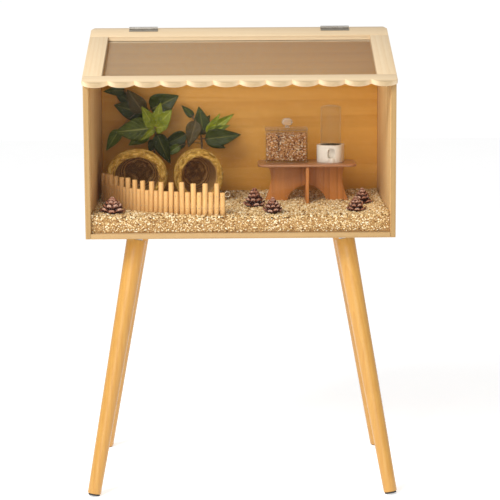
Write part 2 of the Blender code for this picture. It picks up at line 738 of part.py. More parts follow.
def make_platform():
    depth = PLATFORM_BACK - PLATFORM_FRONT
    outline = rounded(PLATFORM_WIDTH / 2, depth / 2, PLATFORM_CORNER)
    top = board(outline, PLATFORM_TOP - PLATFORM_BOARD, PLATFORM_TOP)
    bmesh.ops.translate(top, verts=top.verts, vec=(PLATFORM_X, PLATFORM_FRONT + depth / 2, 0.0))
    add("platform_top", top, PLYWOOD)

    high = PLATFORM_TOP - PLATFORM_BOARD - GAP
    height = high - STANDING
    arch_z = STANDING + ARCH_RISE - ARCH_RADIUS
    arch_angle = math.degrees(math.asin((STANDING - arch_z) / ARCH_RADIUS))
    right = [(LONG_HALF_FOOT, STANDING)]
    for step in range(1, 6):
        t = step / 6
        reach = LONG_HALF_WAIST + (LONG_HALF_FOOT - LONG_HALF_WAIST) * (1 - t) ** 2
        reach += (LONG_HALF_TOP - LONG_HALF_WAIST) * max(0.0, (t - 0.5) * 2) ** 2
        right.append((reach, STANDING + height * t))
    right.append((LONG_HALF_TOP, high))
    arch = arc((0.0, arch_z), ARCH_RADIUS, 180 - arch_angle, arch_angle, 10)
    outline = right + [(-x, z) for x, z in reversed(right)] + arch
    facing = Matrix(((1, 0, 0, PLATFORM_X), (0, 0, 1, LONG_SUPPORT_Y), (0, 1, 0, 0), (0, 0, 0, 1)))
    half = SUPPORT_BOARD / 2
    shape = board(outline, -half, half)
    shape.transform(facing)
    long_support = add("platform_long_support", shape, PLYWOOD)
    slot = half + LAP_GAP
    slot_low = (PLATFORM_X - slot, LONG_SUPPORT_Y - SUPPORT_BOARD, LAP_HEIGHT)
    cut(long_support, box(slot_low, (PLATFORM_X + slot, LONG_SUPPORT_Y + SUPPORT_BOARD, TOP)))

    cross = add(
        "platform_cross_support",
        box((PLATFORM_X - half, CROSS_FRONT, STANDING), (PLATFORM_X + half, CROSS_BACK, high)),
        PLYWOOD,
    )
    slot_low = (PLATFORM_X - SUPPORT_BOARD, LONG_SUPPORT_Y - slot, FLOOR_TOP)
    cut(cross, box(slot_low, (PLATFORM_X + SUPPORT_BOARD, LONG_SUPPORT_Y + slot, LAP_HEIGHT + GAP)))


def make_feeder():
    floor = PLATFORM_TOP + GAP
    rim = floor + FEEDER_HEIGHT
    shape = box((FEEDER_LEFT, FEEDER_FRONT, floor), (FEEDER_RIGHT, FEEDER_BACK, rim))
    walls = add("feeder_box", shape, CLEAR)
    left = FEEDER_LEFT + FEEDER_WALL
    right = FEEDER_RIGHT - FEEDER_WALL
    front = FEEDER_FRONT + FEEDER_WALL
    back = FEEDER_BACK - FEEDER_WALL
    cut(walls, box((left, front, floor + FEEDER_WALL), (right, back, TOP)))
    hole_x = left + (FEEDER_DIVIDER - FEEDER_WALL) / 2
    hole_z = floor + FEEDER_HOLE_HEIGHT
    hole_start = (hole_x, front + GAP, hole_z)
    cut(walls, rod(hole_start, (hole_x, FEEDER_FRONT - GAP, hole_z), FEEDER_HOLE_RADIUS, sides=20))

    lip = rim + GAP - FEEDER_LID_LIP
    divider_x = FEEDER_LEFT + FEEDER_DIVIDER
    divider_low = (divider_x - FEEDER_WALL / 2, front + GAP, floor + FEEDER_DIVIDER_BOTTOM)
    add("feeder_divider", box(divider_low, (divider_x + FEEDER_WALL / 2, back - GAP, lip - GAP)), CLEAR)

    food_low = (left + GAP, front + GAP, floor + FEEDER_WALL + GAP)
    food = add("feeder_food", box(food_low, (right - GAP, back - GAP, floor + FOOD_DEPTH)), GRAIN)
    slot = FEEDER_WALL / 2 + GAP
    slot_low = (divider_x - slot, FEEDER_FRONT, floor + FEEDER_DIVIDER_BOTTOM - GAP)
    cut(food, box(slot_low, (divider_x + slot, FEEDER_BACK, TOP)))

    knob_x = (FEEDER_LEFT + FEEDER_RIGHT) / 2 + KNOB_OFFSET
    knob_y = (FEEDER_FRONT + FEEDER_BACK) / 2
    lid_top = rim + GAP + FEEDER_LID
    lifts = empty("feeder_lid_axis", Matrix.Translation((knob_x, knob_y, lid_top)))
    low = (FEEDER_LEFT - knob_x, FEEDER_FRONT - knob_y, -FEEDER_LID)
    lid = add("feeder_lid", box(low, (FEEDER_RIGHT - knob_x, FEEDER_BACK - knob_y, 0.0)), CLEAR, lifts)
    fit = FEEDER_LID_FIT
    lip_low = (left + fit - knob_x, front + fit - knob_y, -FEEDER_LID - FEEDER_LID_LIP)
    lip_high = (right - fit - knob_x, back - fit - knob_y, -FEEDER_LID / 2)
    join(lid, box(lip_low, lip_high))
    ball = KNOB_RADIUS
    knob = [
        (0.0, KNOB_HEIGHT),
        (ball * 0.45, KNOB_HEIGHT),
        (ball * 0.85, KNOB_HEIGHT - ball * 0.35),
        (ball, KNOB_HEIGHT - ball * 0.75),
        (ball * 0.8, KNOB_HEIGHT - ball * 1.2),
        (ball * 0.32, 0.0025),
        (ball * 0.42, GAP),
        (0.0, GAP),
    ]
    turned("feeder_knob", knob, 8, CLEAR, Matrix.Translation((knob_x, knob_y, lid_top)))


def make_bottle():
    base_z = PLATFORM_TOP + GAP
    half = BOTTLE_BASE_SIZE / 2
    place = Matrix.Translation((BOTTLE_X, BOTTLE_Y, base_z)) @ Matrix.Rotation(BOTTLE_BASE_TURN, 4, "Z")
    shape = board(rounded(half, half, BOTTLE_BASE_CORNER), 0.0, BOTTLE_BASE_HEIGHT)
    base = add("bottle_base", shape, IVORY, place=place)
    lip_y = -half + LIP_RADIUS * 0.55
    join(base, rod((TROUGH_OFFSET, lip_y, 0.0), (TROUGH_OFFSET, lip_y, LIP_HEIGHT), LIP_RADIUS, sides=16))
    wide = TROUGH_WIDTH / 2
    arch_z = BOTTLE_BASE_HEIGHT - NOTCH_MARGIN - wide
    arch = [(-wide, TROUGH_FLOOR), (wide, TROUGH_FLOOR), *arc((0.0, arch_z), wide, 0, 180, 8)]
    notch = board(arch, -BOTTLE_BASE_SIZE, TROUGH_DEPTH)
    notch.transform(Matrix(((1, 0, 0, TROUGH_OFFSET), (0, 0, 1, -half), (0, 1, 0, 0), (0, 0, 0, 1))))
    cut(base, notch)
    tub_floor = (TROUGH_OFFSET, lip_y, LIP_HEIGHT - TUB_DEPTH)
    tub = rod(tub_floor, (TROUGH_OFFSET, lip_y, TROUGH_FLOOR + TUB_RISE), LIP_RADIUS - LIP_WALL, sides=16)
    cut(base, tub)
    socket = Matrix.Rotation(-BOTTLE_BASE_TURN, 4, "Z") @ Vector((TUBE_X - BOTTLE_X, 0.0, 0.0))
    socket_floor = BOTTLE_BASE_HEIGHT - SOCKET_DEPTH
    hole_start = (socket.x, socket.y, socket_floor)
    hole = rod(hole_start, (socket.x, socket.y, TOP), TUBE_RADIUS + SOCKET_FIT, sides=24)
    cut(base, hole)

    inner = TUBE_RADIUS - TUBE_WALL
    dome = TUBE_RADIUS * 0.3
    profile = [
        (0.0, TUBE_HEIGHT),
        (TUBE_RADIUS * 0.6, TUBE_HEIGHT - dome * 0.12),
        (TUBE_RADIUS * 0.9, TUBE_HEIGHT - dome * 0.45),
        (TUBE_RADIUS, TUBE_HEIGHT - dome),
        (TUBE_RADIUS, 0.0),
        (inner, 0.0),
        (inner, TUBE_HEIGHT - dome),
        (inner * 0.88, TUBE_HEIGHT - TUBE_WALL - dome * 0.45),
        (0.0, TUBE_HEIGHT - TUBE_WALL),
    ]
    foot = Matrix.Translation((TUBE_X, BOTTLE_Y, base_z + socket_floor + GAP))
    turned("bottle_tube", profile, 24, CLEAR, foot)


def make_vine(name, stem, leaves):
    """A stem that stands on the bedding, with a twig to each flat leaf."""
    points = [Vector(place) for place in stem]
    points[0].z = STANDING
    vine = add(name, wire(points, STEM_RADIUS), LEAF_GREEN)
    for foot, tip, width in leaves:
        foot = Vector(foot)
        tip = Vector(tip)
        nearest = min(points[1:], key=lambda place: (place - foot).length)
        way = (tip - foot).normalized()
        if (nearest - foot).length > TWIG_RADIUS:
            join(vine, wire([nearest, foot + way * TWIG_LAP], TWIG_RADIUS))
        across = way.cross(Vector((0.0, 1.0, 0.0))).normalized()
        normal = across.cross(way)
        frame = Matrix((way, across, normal)).transposed().to_4x4()
        length = (tip - foot).length
        widths = ((0.0, 0.10), (0.15, 0.68), (0.4, 1.0), (0.7, 0.66), (1.0, 0.06))
        outline = [(length * along, width / 2 * share) for along, share in widths]
        outline += [(x, -y) for x, y in reversed(outline)]
        shape = board(outline, -LEAF_SHEET / 2, LEAF_SHEET / 2)
        shape.transform(Matrix.Translation(foot) @ frame)
        join(vine, shape)


make_case()
hinge_axis = make_lid()
make_hinges(hinge_axis)
make_legs()
fit_inside = INNER_X - GAP
bedding_low = (-fit_inside, PANE_BACK + GAP, FLOOR_TOP + GAP)
add("bedding", box(bedding_low, (fit_inside, BACK_Y - BOARD - GAP, BEDDING_TOP)), PELLETS)
make_fence()
make_nest("nest_left", NEST_LEFT_X, 0.020, NEST_LEFT_HALF_WIDTH, 0.74, 0.0)
make_nest("nest_right", -0.0950, 0.015, 0.0500, 0.74, math.radians(8.0))
make_platform()
make_feeder()
make_bottle()
make_cones()
make_vine("vine_left", LEFT_STEM, LEFT_LEAVES)
make_vine("vine_right", RIGHT_STEM, RIGHT_LEAVES)
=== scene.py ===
import json
import math
import random

import bmesh
import bpy
import numpy as np
from mathutils import Matrix, Vector, noise


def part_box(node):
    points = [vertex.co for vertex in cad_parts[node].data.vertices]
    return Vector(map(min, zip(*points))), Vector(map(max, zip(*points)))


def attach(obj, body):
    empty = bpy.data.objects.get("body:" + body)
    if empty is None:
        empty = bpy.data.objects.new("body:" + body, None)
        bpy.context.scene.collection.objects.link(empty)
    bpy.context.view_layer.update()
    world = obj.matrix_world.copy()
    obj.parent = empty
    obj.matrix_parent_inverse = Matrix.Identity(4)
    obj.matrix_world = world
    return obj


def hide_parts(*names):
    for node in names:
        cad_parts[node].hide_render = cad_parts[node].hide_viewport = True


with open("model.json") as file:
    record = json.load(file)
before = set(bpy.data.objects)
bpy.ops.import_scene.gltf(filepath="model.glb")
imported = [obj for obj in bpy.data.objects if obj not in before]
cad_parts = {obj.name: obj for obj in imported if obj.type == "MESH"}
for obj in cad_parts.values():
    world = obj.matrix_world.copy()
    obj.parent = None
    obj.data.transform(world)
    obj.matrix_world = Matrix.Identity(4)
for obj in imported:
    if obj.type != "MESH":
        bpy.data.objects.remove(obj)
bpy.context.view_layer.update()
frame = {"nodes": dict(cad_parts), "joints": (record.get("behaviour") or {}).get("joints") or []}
NODES = frame["nodes"]
SIDES = ("left", "right")
LID_PITCH = math.radians(18.3)
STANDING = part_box("nest_left")[0].z


# Making pieces ------------------------------------------------------------------------------------


def piece(name, shape, finish, body, *nodes, sharp=35.0, slot=None):
    """Puts a finished shape in the scene, riding on its body and standing for the nodes named."""
    mesh = shape
    if isinstance(shape, bmesh.types.BMesh):
        mesh = bpy.data.meshes.new(name)
        shape.to_mesh(mesh)
        shape.free()
    mesh.shade_smooth()
    mesh.set_sharp_from_angle(angle=math.radians(sharp))
    mesh.materials.clear()
    mesh.materials.append(finish)
    made = bpy.data.objects.new(name, mesh)
    bpy.context.scene.collection.objects.link(made)
    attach(made, body)
    if nodes:
        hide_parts(*nodes)
    return made


def welded(node):
    """A copy of a CAD node's shape with its points merged and its flat faces whole."""
    shape = bmesh.new()
    shape.from_mesh(NODES[node].data)
    bmesh.ops.remove_doubles(shape, verts=shape.verts, dist=0.00001)
    bmesh.ops.dissolve_limit(shape, angle_limit=math.radians(1.0), verts=shape.verts, edges=shape.edges)
    return shape


def rounded_over(shape, radius, segments=3, least=30.0):
    """Rounds every edge of a shape that is sharper than an angle."""
    edges = [
        edge
        for edge in shape.edges
        if len(edge.link_faces) == 2 and edge.calc_face_angle(0.0) > math.radians(least)
    ]
    bmesh.ops.bevel(
        shape,
        geom=edges,
        offset=radius,
        offset_type="OFFSET",
        segments=segments,
        profile=0.5,
        affect="EDGES",
        clamp_overlap=True,
        material=-1,
    )
    return shape


def eased(node, radius, finish, body, segments=3, least=30.0):
    """Stands for a CAD node with the same shape and its edges rounded."""
    return piece(node + "_eased", rounded_over(welded(node), radius, segments, least), finish, body, node)


def keep(finish, *nodes):
    """Gives a finish to CAD nodes that are shown as they are."""
    for node in nodes:
        NODES[node].data.materials.clear()
        NODES[node].data.materials.append(finish)


def block(low, high):
    shape = bmesh.new()
    low = Vector(low)
    high = Vector(high)
    bmesh.ops.create_cube(
        shape, size=1.0, matrix=Matrix.Translation((low + high) / 2) @ Matrix.Diagonal((*(high - low), 1.0))
    )
    return shape


def spun(profile, steps):
    """A shape turned round its own Z from (radius, height) points, which run down the outside."""
    shape = bmesh.new()
    corners = [shape.verts.new((radius, 0.0, height)) for radius, height in profile]
    edges = [shape.edges.new(pair) for pair in zip(corners, corners[1:])]
    bmesh.ops.spin(
        shape,
        geom=corners + edges,
        cent=(0.0, 0.0, 0.0),
        axis=(0.0, 0.0, 1.0),
        angle=math.tau,
        steps=steps,
        use_merge=True,
        use_duplicate=False,
    )
    bmesh.ops.remove_doubles(shape, verts=shape.verts, dist=0.000005)
    bmesh.ops.recalc_face_normals(shape, faces=shape.faces)
    return shape


def strands(routes, radius, sides=0, closed=False):
    """One mesh of round strands, each along its own route of points with a share of the radius."""
    curve = bpy.data.curves.new("strands", "CURVE")
    curve.dimensions = "3D"
    curve.bevel_depth = radius
    curve.bevel_resolution = sides
    curve.use_fill_caps = True
    for route in routes:
        spline = curve.splines.new("POLY")
        spline.points.add(len(route) - 1)
        for point, place in zip(spline.points, route):
            point.co = (*place[:3], 1.0)
            point.radius = place[3] if len(place) > 3 else 1.0
        spline.use_cyclic_u = closed
    guide = bpy.data.objects.new("strands", curve)
    bpy.context.scene.collection.objects.link(guide)
    graph = bpy.context.evaluated_depsgraph_get()
    mesh = bpy.data.meshes.new_from_object(guide.evaluated_get(graph))
    bpy.data.objects.remove(guide, do_unlink=True)
    bpy.data.curves.remove(curve)
    shape = bmesh.new()
    shape.from_mesh(mesh)
    bmesh.ops.remove_doubles(shape, verts=shape.verts, dist=0.000001)
    bmesh.ops.recalc_face_normals(shape, faces=shape.faces)
    return shape


def carved(shape, cutter):
    """The shape with the cutter taken away."""
    objects = []
    for name, source in (("blank", shape), ("cutter", cutter)):
        mesh = bpy.data.meshes.new(name)
        source.to_mesh(mesh)
        source.free()
        objects.append(bpy.data.objects.new(name, mesh))
        bpy.context.scene.collection.objects.link(objects[-1])
    modifier = objects[0].modifiers.new("cut", "BOOLEAN")
    modifier.operation = "DIFFERENCE"
    modifier.solver = "EXACT"
    modifier.object = objects[1]
    graph = bpy.context.evaluated_depsgraph_get()
    result = bmesh.new()
    result.from_mesh(bpy.data.meshes.new_from_object(objects[0].evaluated_get(graph)))
    for made in objects:
        bpy.data.objects.remove(made, do_unlink=True)
    return result


def strewn(name, kinds, places, tints, finish, body, *nodes, slot=None, sharp=35.0):
    """One piece from many small copies of a few shapes, each with a tint of its own."""
    patterns = []
    for kind in kinds:
        bmesh.ops.triangulate(kind, faces=kind.faces)
        kind.verts.index_update()
        own = kind.verts.layers.float.get("tint")
        points = np.array([vert.co for vert in kind.verts])
        faces = np.array([[vert.index for vert in face.verts] for face in kind.faces])
        patterns.append((points, faces, np.array([vert[own] if own else 0.0 for vert in kind.verts])))
    points, faces, shades, total = [], [], [], 0
    for index, (place, tint) in enumerate(zip(places, tints)):
        shape, sides, own = patterns[index % len(patterns)]
        turn = np.array(place)
        points.append(shape @ turn[:3, :3].T + turn[:3, 3])
        faces.append(sides + total)
        shades.append(np.clip(own + tint, 0.0, 1.0))
        total += len(shape)
    mesh = bpy.data.meshes.new(name)
    mesh.from_pydata(np.concatenate(points), [], np.concatenate(faces))
    mesh.attributes.new("tint", "FLOAT", "POINT").data.foreach_set(
        "value", np.concatenate(shades).astype(np.float32)
    )
    return piece(name, mesh, finish, body, *nodes, slot=slot, sharp=sharp)


def smooth_route(points, steps=12):
    """Points along a smooth curve that passes through the given ones."""
    places = [Vector(place) for place in points]
    ends = [2 * places[0] - places[1], *places, 2 * places[-1] - places[-2]]
    route = []
    for a, b, c, d in zip(ends, ends[1:], ends[2:], ends[3:]):
        for step in range(steps):
            t = step / steps
            bend = (2 * a - 5 * b + 4 * c - d) * t**2 + (3 * b - a - 3 * c + d) * t**3
            route.append(0.5 * (2 * b + (c - a) * t + bend))
    route.append(places[-1])
    return route


# Finishes -----------------------------------------------------------------------------------------


def put(tree, kind, inputs=None, **settings):
    """A node with its settings, its inputs set to a value or linked from a socket."""
    made = tree.nodes.new("ShaderNode" + kind)
    for key, value in settings.items():
        setattr(made, key, value)
    for key, value in (inputs or {}).items():
        if isinstance(value, bpy.types.NodeSocket):
            tree.links.new(value, made.inputs[key])
        else:
            made.inputs[key].default_value = value
    return made


def sums(tree, operation, first, second=0.0):
    return put(tree, "Math", {0: first, 1: second}, operation=operation).outputs[0]


def plus(tree, first, second):
    return sums(tree, "ADD", first, second)


def times(tree, first, second):
    return sums(tree, "MULTIPLY", first, second)


def blended(tree, share, first, second, how="MIX"):
    return put(tree, "Mix", {0: share, 6: first, 7: second}, data_type="RGBA", blend_type=how).outputs[2]


def spread(tree, value, low, high, to_low=0.0, to_high=1.0):
    """Takes a value from one range to another, held at its ends."""
    return put(
        tree,
        "MapRange",
        {"Value": value, "From Min": low, "From Max": high, "To Min": to_low, "To Max": to_high},
    ).outputs["Result"]


def ramp(tree, value, stops, how="LINEAR"):
    made = put(tree, "ValToRGB", {"Fac": value})
    made.color_ramp.interpolation = how
    for index, (place, colour) in enumerate(stops):
        stop = made.color_ramp.elements[index] if index < 2 else made.color_ramp.elements.new(place)
        stop.position = place
        stop.color = (*colour, 1.0)
    return made.outputs["Color"]


def noisy(tree, vector, scale, detail=2.0, roughness=0.5):
    return put(
        tree, "TexNoise", {"Vector": vector, "Scale": scale, "Detail": detail, "Roughness": roughness}
    ).outputs["Fac"]


def effect(name, inputs, outputs):
    """An empty shader group with its sockets, given as (name, type, value) and (name, type)."""
    tree = bpy.data.node_groups.new(name, "ShaderNodeTree")
    for title, kind, value in inputs:
        socket = tree.interface.new_socket(name=title, in_out="INPUT", socket_type="NodeSocket" + kind)
        if value is not None:
            socket.default_value = value
    for title, kind in outputs:
        tree.interface.new_socket(name=title, in_out="OUTPUT", socket_type="NodeSocket" + kind)
    return tree, tree.nodes.new("NodeGroupInput").outputs, tree.nodes.new("NodeGroupOutput").inputs


def make_grain():
    """Growth rings, staves and fibres of cut wood that runs along X."""
    tree, given, result = effect(
        "wood grain",
        (
            ("Vector", "Vector", None),
            ("Early wood", "Color", (0.8, 0.6, 0.4, 1.0)),
            ("Late wood", "Color", (0.6, 0.4, 0.2, 1.0)),
            ("Rings", "Float", 60.0),
            ("Figure", "Float", 0.5),
            ("Stave", "Float", 0.05),
            ("Stave contrast", "Float", 0.0),
        ),
        (("Color", "Color"), ("Height", "Float"), ("Fibre", "Float")),
    )
    parts = put(tree, "SeparateXYZ", {0: given["Vector"]}).outputs
    stave = sums(tree, "FLOOR", sums(tree, "DIVIDE", plus(tree, parts["Y"], parts["Z"]), given["Stave"]))
    chance = put(tree, "TexWhiteNoise", {"W": stave}, noise_dimensions="1D").outputs["Value"]
    shift = times(tree, chance, times(tree, given["Stave contrast"], 7.0))
    along = times(tree, parts["X"], 0.055)
    stretched = put(
        tree, "CombineXYZ", {0: plus(tree, along, shift), 1: parts["Y"], 2: parts["Z"]}
    ).outputs[0]
    wander = noisy(tree, stretched, 9.0, 2.0, 0.5)
    rings = put(
        tree,
        "TexWave",
        {
            "Vector": stretched,
            "Scale": given["Rings"],
            "Distortion": 7.0,
            "Detail": 2.0,
            "Detail Scale": 0.35,
            "Detail Roughness": 0.55,
        },
        wave_type="RINGS",
        rings_direction="X",
        wave_profile="SAW",
    ).outputs["Fac"]
    late = sums(tree, "POWER", rings, 2.2)
    thin = put(
        tree, "CombineXYZ", {0: times(tree, parts["X"], 0.03), 1: parts["Y"], 2: parts["Z"]}
    ).outputs[0]
    fibre = noisy(tree, thin, 1100.0, 3.0, 0.6)
    streak = noisy(tree, thin, 130.0, 4.0, 0.65)
    mass = plus(
        tree, times(tree, late, given["Figure"]), times(tree, spread(tree, streak, 0.35, 0.7), 0.35)
    )
    mass = plus(tree, mass, spread(tree, wander, 0.3, 0.7, -0.12, 0.16))
    colour = blended(tree, spread(tree, mass, 0.0, 1.0), given["Early wood"], given["Late wood"])
    tone = plus(
        tree,
        spread(tree, fibre, 0.3, 0.7, 0.95, 1.03),
        times(tree, sums(tree, "SUBTRACT", chance, 0.5), given["Stave contrast"]),
    )
    shade = put(tree, "CombineXYZ", {0: tone, 1: tone, 2: tone}).outputs[0]
    tree.links.new(blended(tree, 1.0, colour, shade, "MULTIPLY"), result["Color"])
    tree.links.new(sums(tree, "SUBTRACT", fibre, times(tree, late, 0.4)), result["Height"])
    tree.links.new(fibre, result["Fibre"])
    return tree


def make_wear_and_highlight():
    """A mask that is high along rubbed edges and in small scuffs; where it is strong it is also a painted
    highlight along the edges.
    """
    tree, given, result = effect(
        "edge wear", (("Vector", "Vector", None), ("Amount", "Float", 0.5)), (("Mask", "Float"),)
    )
    edge = spread(tree, put(tree, "NewGeometry").outputs["Pointiness"], 0.52, 0.60)
    scuff = spread(tree, noisy(tree, given["Vector"], 90.0, 4.0, 0.6), 0.45, 0.75)
    mask = times(tree, edge, plus(tree, times(tree, scuff, 0.7), 0.3))
    tree.links.new(times(tree, mask, given["Amount"]), result["Mask"])
    return tree


def make_dust():
    """A mask of soft uneven dust and finger marks."""
    tree, given, result = effect(
        "dust", (("Vector", "Vector", None), ("Amount", "Float", 0.5)), (("Mask", "Float"),)
    )
    broad = noisy(tree, given["Vector"], 7.0, 3.0, 0.6)
    fine = noisy(tree, given["Vector"], 160.0, 3.0, 0.7)
    mask = times(tree, spread(tree, broad, 0.4, 0.75), spread(tree, fine, 0.3, 0.7))
    tree.links.new(times(tree, mask, given["Amount"]), result["Mask"])
    return tree


GRAIN = make_grain()
WEAR_AND_HIGHLIGHT = make_wear_and_highlight()
DUST = make_dust()


def finish_of(name, roughness=0.5, **sockets):
    """A new finish: its tree, its shader and the Object coordinates."""
    made = bpy.data.materials.new(name)
    made.use_nodes = True
    tree = made.node_tree
    shader = tree.nodes["Principled BSDF"]
    shader.inputs["Roughness"].default_value = roughness
    for key, value in sockets.items():
        shader.inputs[key.replace("_", " ")].default_value = value
    return made, tree, shader.inputs, put(tree, "TexCoord").outputs["Object"]


def raised(tree, sockets, height, strength, distance):
    bump = put(tree, "Bump", {"Height": height, "Strength": strength, "Distance": distance})
    tree.links.new(bump.outputs["Normal"], sockets["Normal"])


def wood(name, early, late, turn=(0.0, 0.0, 0.0), centre=(0.0, 0.0, 0.0), rings=60.0, figure=0.5, stave=0.05,
         contrast=0.0, gloss=0.45, coat=0.0, wear_and_highlight_amount=0.4, edge=1.0, front=0.0, soft=0.0002):
    """Sawn wood: the turn brings its grain to X and the centre is the middle of its rings.

    Ahead of the front plane the faces take painted shade, darker by the edge share."""
    made, tree, sockets, spot = finish_of(name, gloss, Coat_Roughness=0.25, Specular_IOR_Level=0.25)
    placed = put(tree, "Mapping", {"Vector": spot, "Location": centre, "Rotation": turn}).outputs[0]
    grain = put(
        tree,
        "Group",
        {
            "Vector": placed,
            "Early wood": (*early, 1.0),
            "Late wood": (*late, 1.0),
            "Rings": rings,
            "Figure": figure,
            "Stave": stave,
            "Stave contrast": contrast,
        },
        node_tree=GRAIN,
    ).outputs
    # Paler where the mask is high: edge wear, and at a strong amount a painted highlight.
    wear_and_highlight = put(tree, "Group", {"Vector": spot, "Amount": wear_and_highlight_amount}, node_tree=WEAR_AND_HIGHLIGHT).outputs["Mask"]
    paler = tuple(min(1.0, value * 1.12 + 0.02) for value in early)
    colour = blended(tree, wear_and_highlight, grain["Color"], (*paler, 1.0))
    # Painted shade: the faces ahead of the front plane are darkened by the edge share, so they look less lit
    # than the inner faces.
    if edge < 1.0:
        depth = put(tree, "SeparateXYZ", {"Vector": spot}).outputs["Y"]
        front_shade_mask = spread(tree, depth, front + soft, front, 0.0, 1.0)
        colour = blended(tree, front_shade_mask, colour, (edge, edge * 0.95, edge * 0.85, 1.0), "MULTIPLY")
    tree.links.new(colour, sockets["Base Color"])
    tree.links.new(spread(tree, grain["Fibre"], 0.3, 0.7, gloss + 0.07, gloss - 0.06), sockets["Roughness"])
    sockets["Coat Weight"].default_value = coat
    raised(tree, sockets, grain["Height"], 0.25, 0.0003)
    return made


ALONG_X = (0.0, 0.0, 0.0)
ALONG_Y = (-LID_PITCH, 0.0, -math.pi / 2)
ALONG_Z = (0.0, math.pi / 2, 0.0)
PALE_EARLY = (0.800, 0.625, 0.405)
PALE_LATE = (0.720, 0.505, 0.270)
# The front plane of the case; the boards' faces ahead of it take painted shade.
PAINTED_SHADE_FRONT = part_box("side_panel_left")[0].y + 0.0006
pine_lid = wood(
    "pine, lid rails", PALE_EARLY, PALE_LATE, ALONG_X, (0.0, 0.19, -0.78), rings=34.0, figure=0.35
)
pine_lip = wood(
    "pine, scalloped rail",
    PALE_EARLY,
    PALE_LATE,
    ALONG_X,
    (0.0, 0.19, -0.78),
    rings=34.0,
    figure=0.35,
    # Painted shade on the rail's front face, fading over the front of its top.
    edge=0.62,
    front=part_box("lid_rail_front")[0].y + 0.002,
    soft=0.007,
)
pine_stile = wood(
    "pine, lid stiles", PALE_EARLY, PALE_LATE, ALONG_Y, (0.0, 0.21, -0.74), rings=34.0, figure=0.35
)
pine_side = wood(
    "pine, side panels",
    (0.860, 0.580, 0.270),
    (0.680, 0.390, 0.135),
    ALONG_Z,
    (0.0, 0.10, 0.40),
    rings=26.0,
    figure=0.7,
    contrast=0.08,
    stave=0.075,
    # Painted shade on the front edges of the side panels.
    edge=0.50,
    front=PAINTED_SHADE_FRONT,
)
pine_back = wood(
    "pine, back panel",
    (0.690, 0.345, 0.060),
    (0.550, 0.230, 0.024),
    ALONG_X,
    (0.0, 0.05, -0.66),
    rings=24.0,
    figure=0.5,
    stave=0.062,
    contrast=0.10,
)
pine_floor = wood(
    "pine, floor",
    (0.640, 0.430, 0.210),
    (0.500, 0.300, 0.120),
    ALONG_X,
    (0.0, 0.08, -0.40),
    rings=30.0,
    figure=0.4,
    stave=0.06,
    contrast=0.05,
    # Painted shade on the front edge of the floor.
    edge=0.72,
    front=PAINTED_SHADE_FRONT,
)
honey = wood(
    "honey lacquered beech",
    (0.590, 0.315, 0.070),
    (0.470, 0.205, 0.034),
    ALONG_Z,
    (0.0, 0.30, 0.12),
    rings=40.0,
    figure=0.3,
    gloss=0.36,
    coat=0.55,
    wear_and_highlight_amount=0.1,
)
walnut_ply = wood(
    "brown plywood, upright",
    (0.620, 0.235, 0.050),
    (0.330, 0.105, 0.020),
    ALONG_Z,
    (0.0, 0.2, 0.1),
    rings=70.0,
    figure=0.5,
    wear_and_highlight_amount=0.6,
)
walnut_top = wood(
    "brown plywood, top",
    (0.480, 0.220, 0.095),
    (0.270, 0.100, 0.030),
    ALONG_X,
    (0.0, 0.2, -0.55),
    rings=60.0,
    figure=0.5,
    gloss=0.35,
    coat=0.3,
    # At full amount the edge mask paints a pale highlight along the top's rounded front edge, besides its
    # wear.
    wear_and_highlight_amount=1.0,
)
stick_wood = wood(
    "peeled sticks",
    (0.760, 0.450, 0.165),
    (0.540, 0.255, 0.070),
    ALONG_Z,
    (0.0, 0.3, 0.2),
    rings=90.0,
    figure=0.35,
)


def steel(name, colour, roughness):
    made, tree, sockets, spot = finish_of(name, roughness, Metallic=1.0)
    brushed = put(tree, "Mapping", {"Vector": spot, "Scale": (40.0, 1400.0, 1400.0)}).outputs[0]
    lines = noisy(tree, brushed, 1.0, 3.0, 0.6)
    dust = put(tree, "Group", {"Vector": spot, "Amount": 0.5}, node_tree=DUST).outputs["Mask"]
    low = tuple(value * 0.82 for value in colour)
    tree.links.new(blended(tree, lines, (*low, 1.0), (*colour, 1.0)), sockets["Base Color"])
    tree.links.new(
        plus(
            tree, spread(tree, lines, 0.3, 0.7, roughness - 0.08, roughness + 0.1), times(tree, dust, 0.3)
        ),
        sockets["Roughness"],
    )
    raised(tree, sockets, lines, 0.15, 0.0001)
    return made


bright_steel = steel("bright steel", (0.50, 0.47, 0.42), 0.30)
zinc_steel = steel("zinc plated steel", (0.60, 0.60, 0.61), 0.38)
wire_steel = steel("galvanised wire", (0.56, 0.45, 0.31), 0.50)


def clear(name, tint, roughness, painted_reflection_share):
    """Clear sheet: mostly seen through, with a painted reflection, a grey colour that covers more of it at a
    glance.
    """
    made, tree, sockets, spot = finish_of(name, roughness)
    dust = put(tree, "Group", {"Vector": spot, "Amount": 0.02}, node_tree=DUST).outputs["Mask"]
    # The Facing output is the same from both sides of a sheet, where Fresnel is not.
    glance = put(tree, "LayerWeight", {"Blend": 0.5}).outputs["Facing"]
    # Painted reflection: at glancing angles the sheet turns warm grey and more opaque, in place of its
    # reflection.
    painted_reflection = plus(tree, times(tree, sums(tree, "POWER", glance, 5.0), 0.96), 0.04)
    tree.links.new(blended(tree, painted_reflection, (*tint, 1.0), (0.62, 0.56, 0.50, 1.0)), sockets["Base Color"])
    tree.links.new(plus(tree, times(tree, painted_reflection, painted_reflection_share), dust), sockets["Alpha"])
    tree.links.new(plus(tree, dust, roughness), sockets["Roughness"])
    return made


pane_clear = clear("clear front pane", (0.10, 0.12, 0.12), 0.03, 0.35)
acrylic = clear("clear acrylic box", (0.30, 0.17, 0.13), 0.04, 0.9)
tube_clear = clear("clear bottle", (0.80, 0.60, 0.34), 0.03, 0.7)


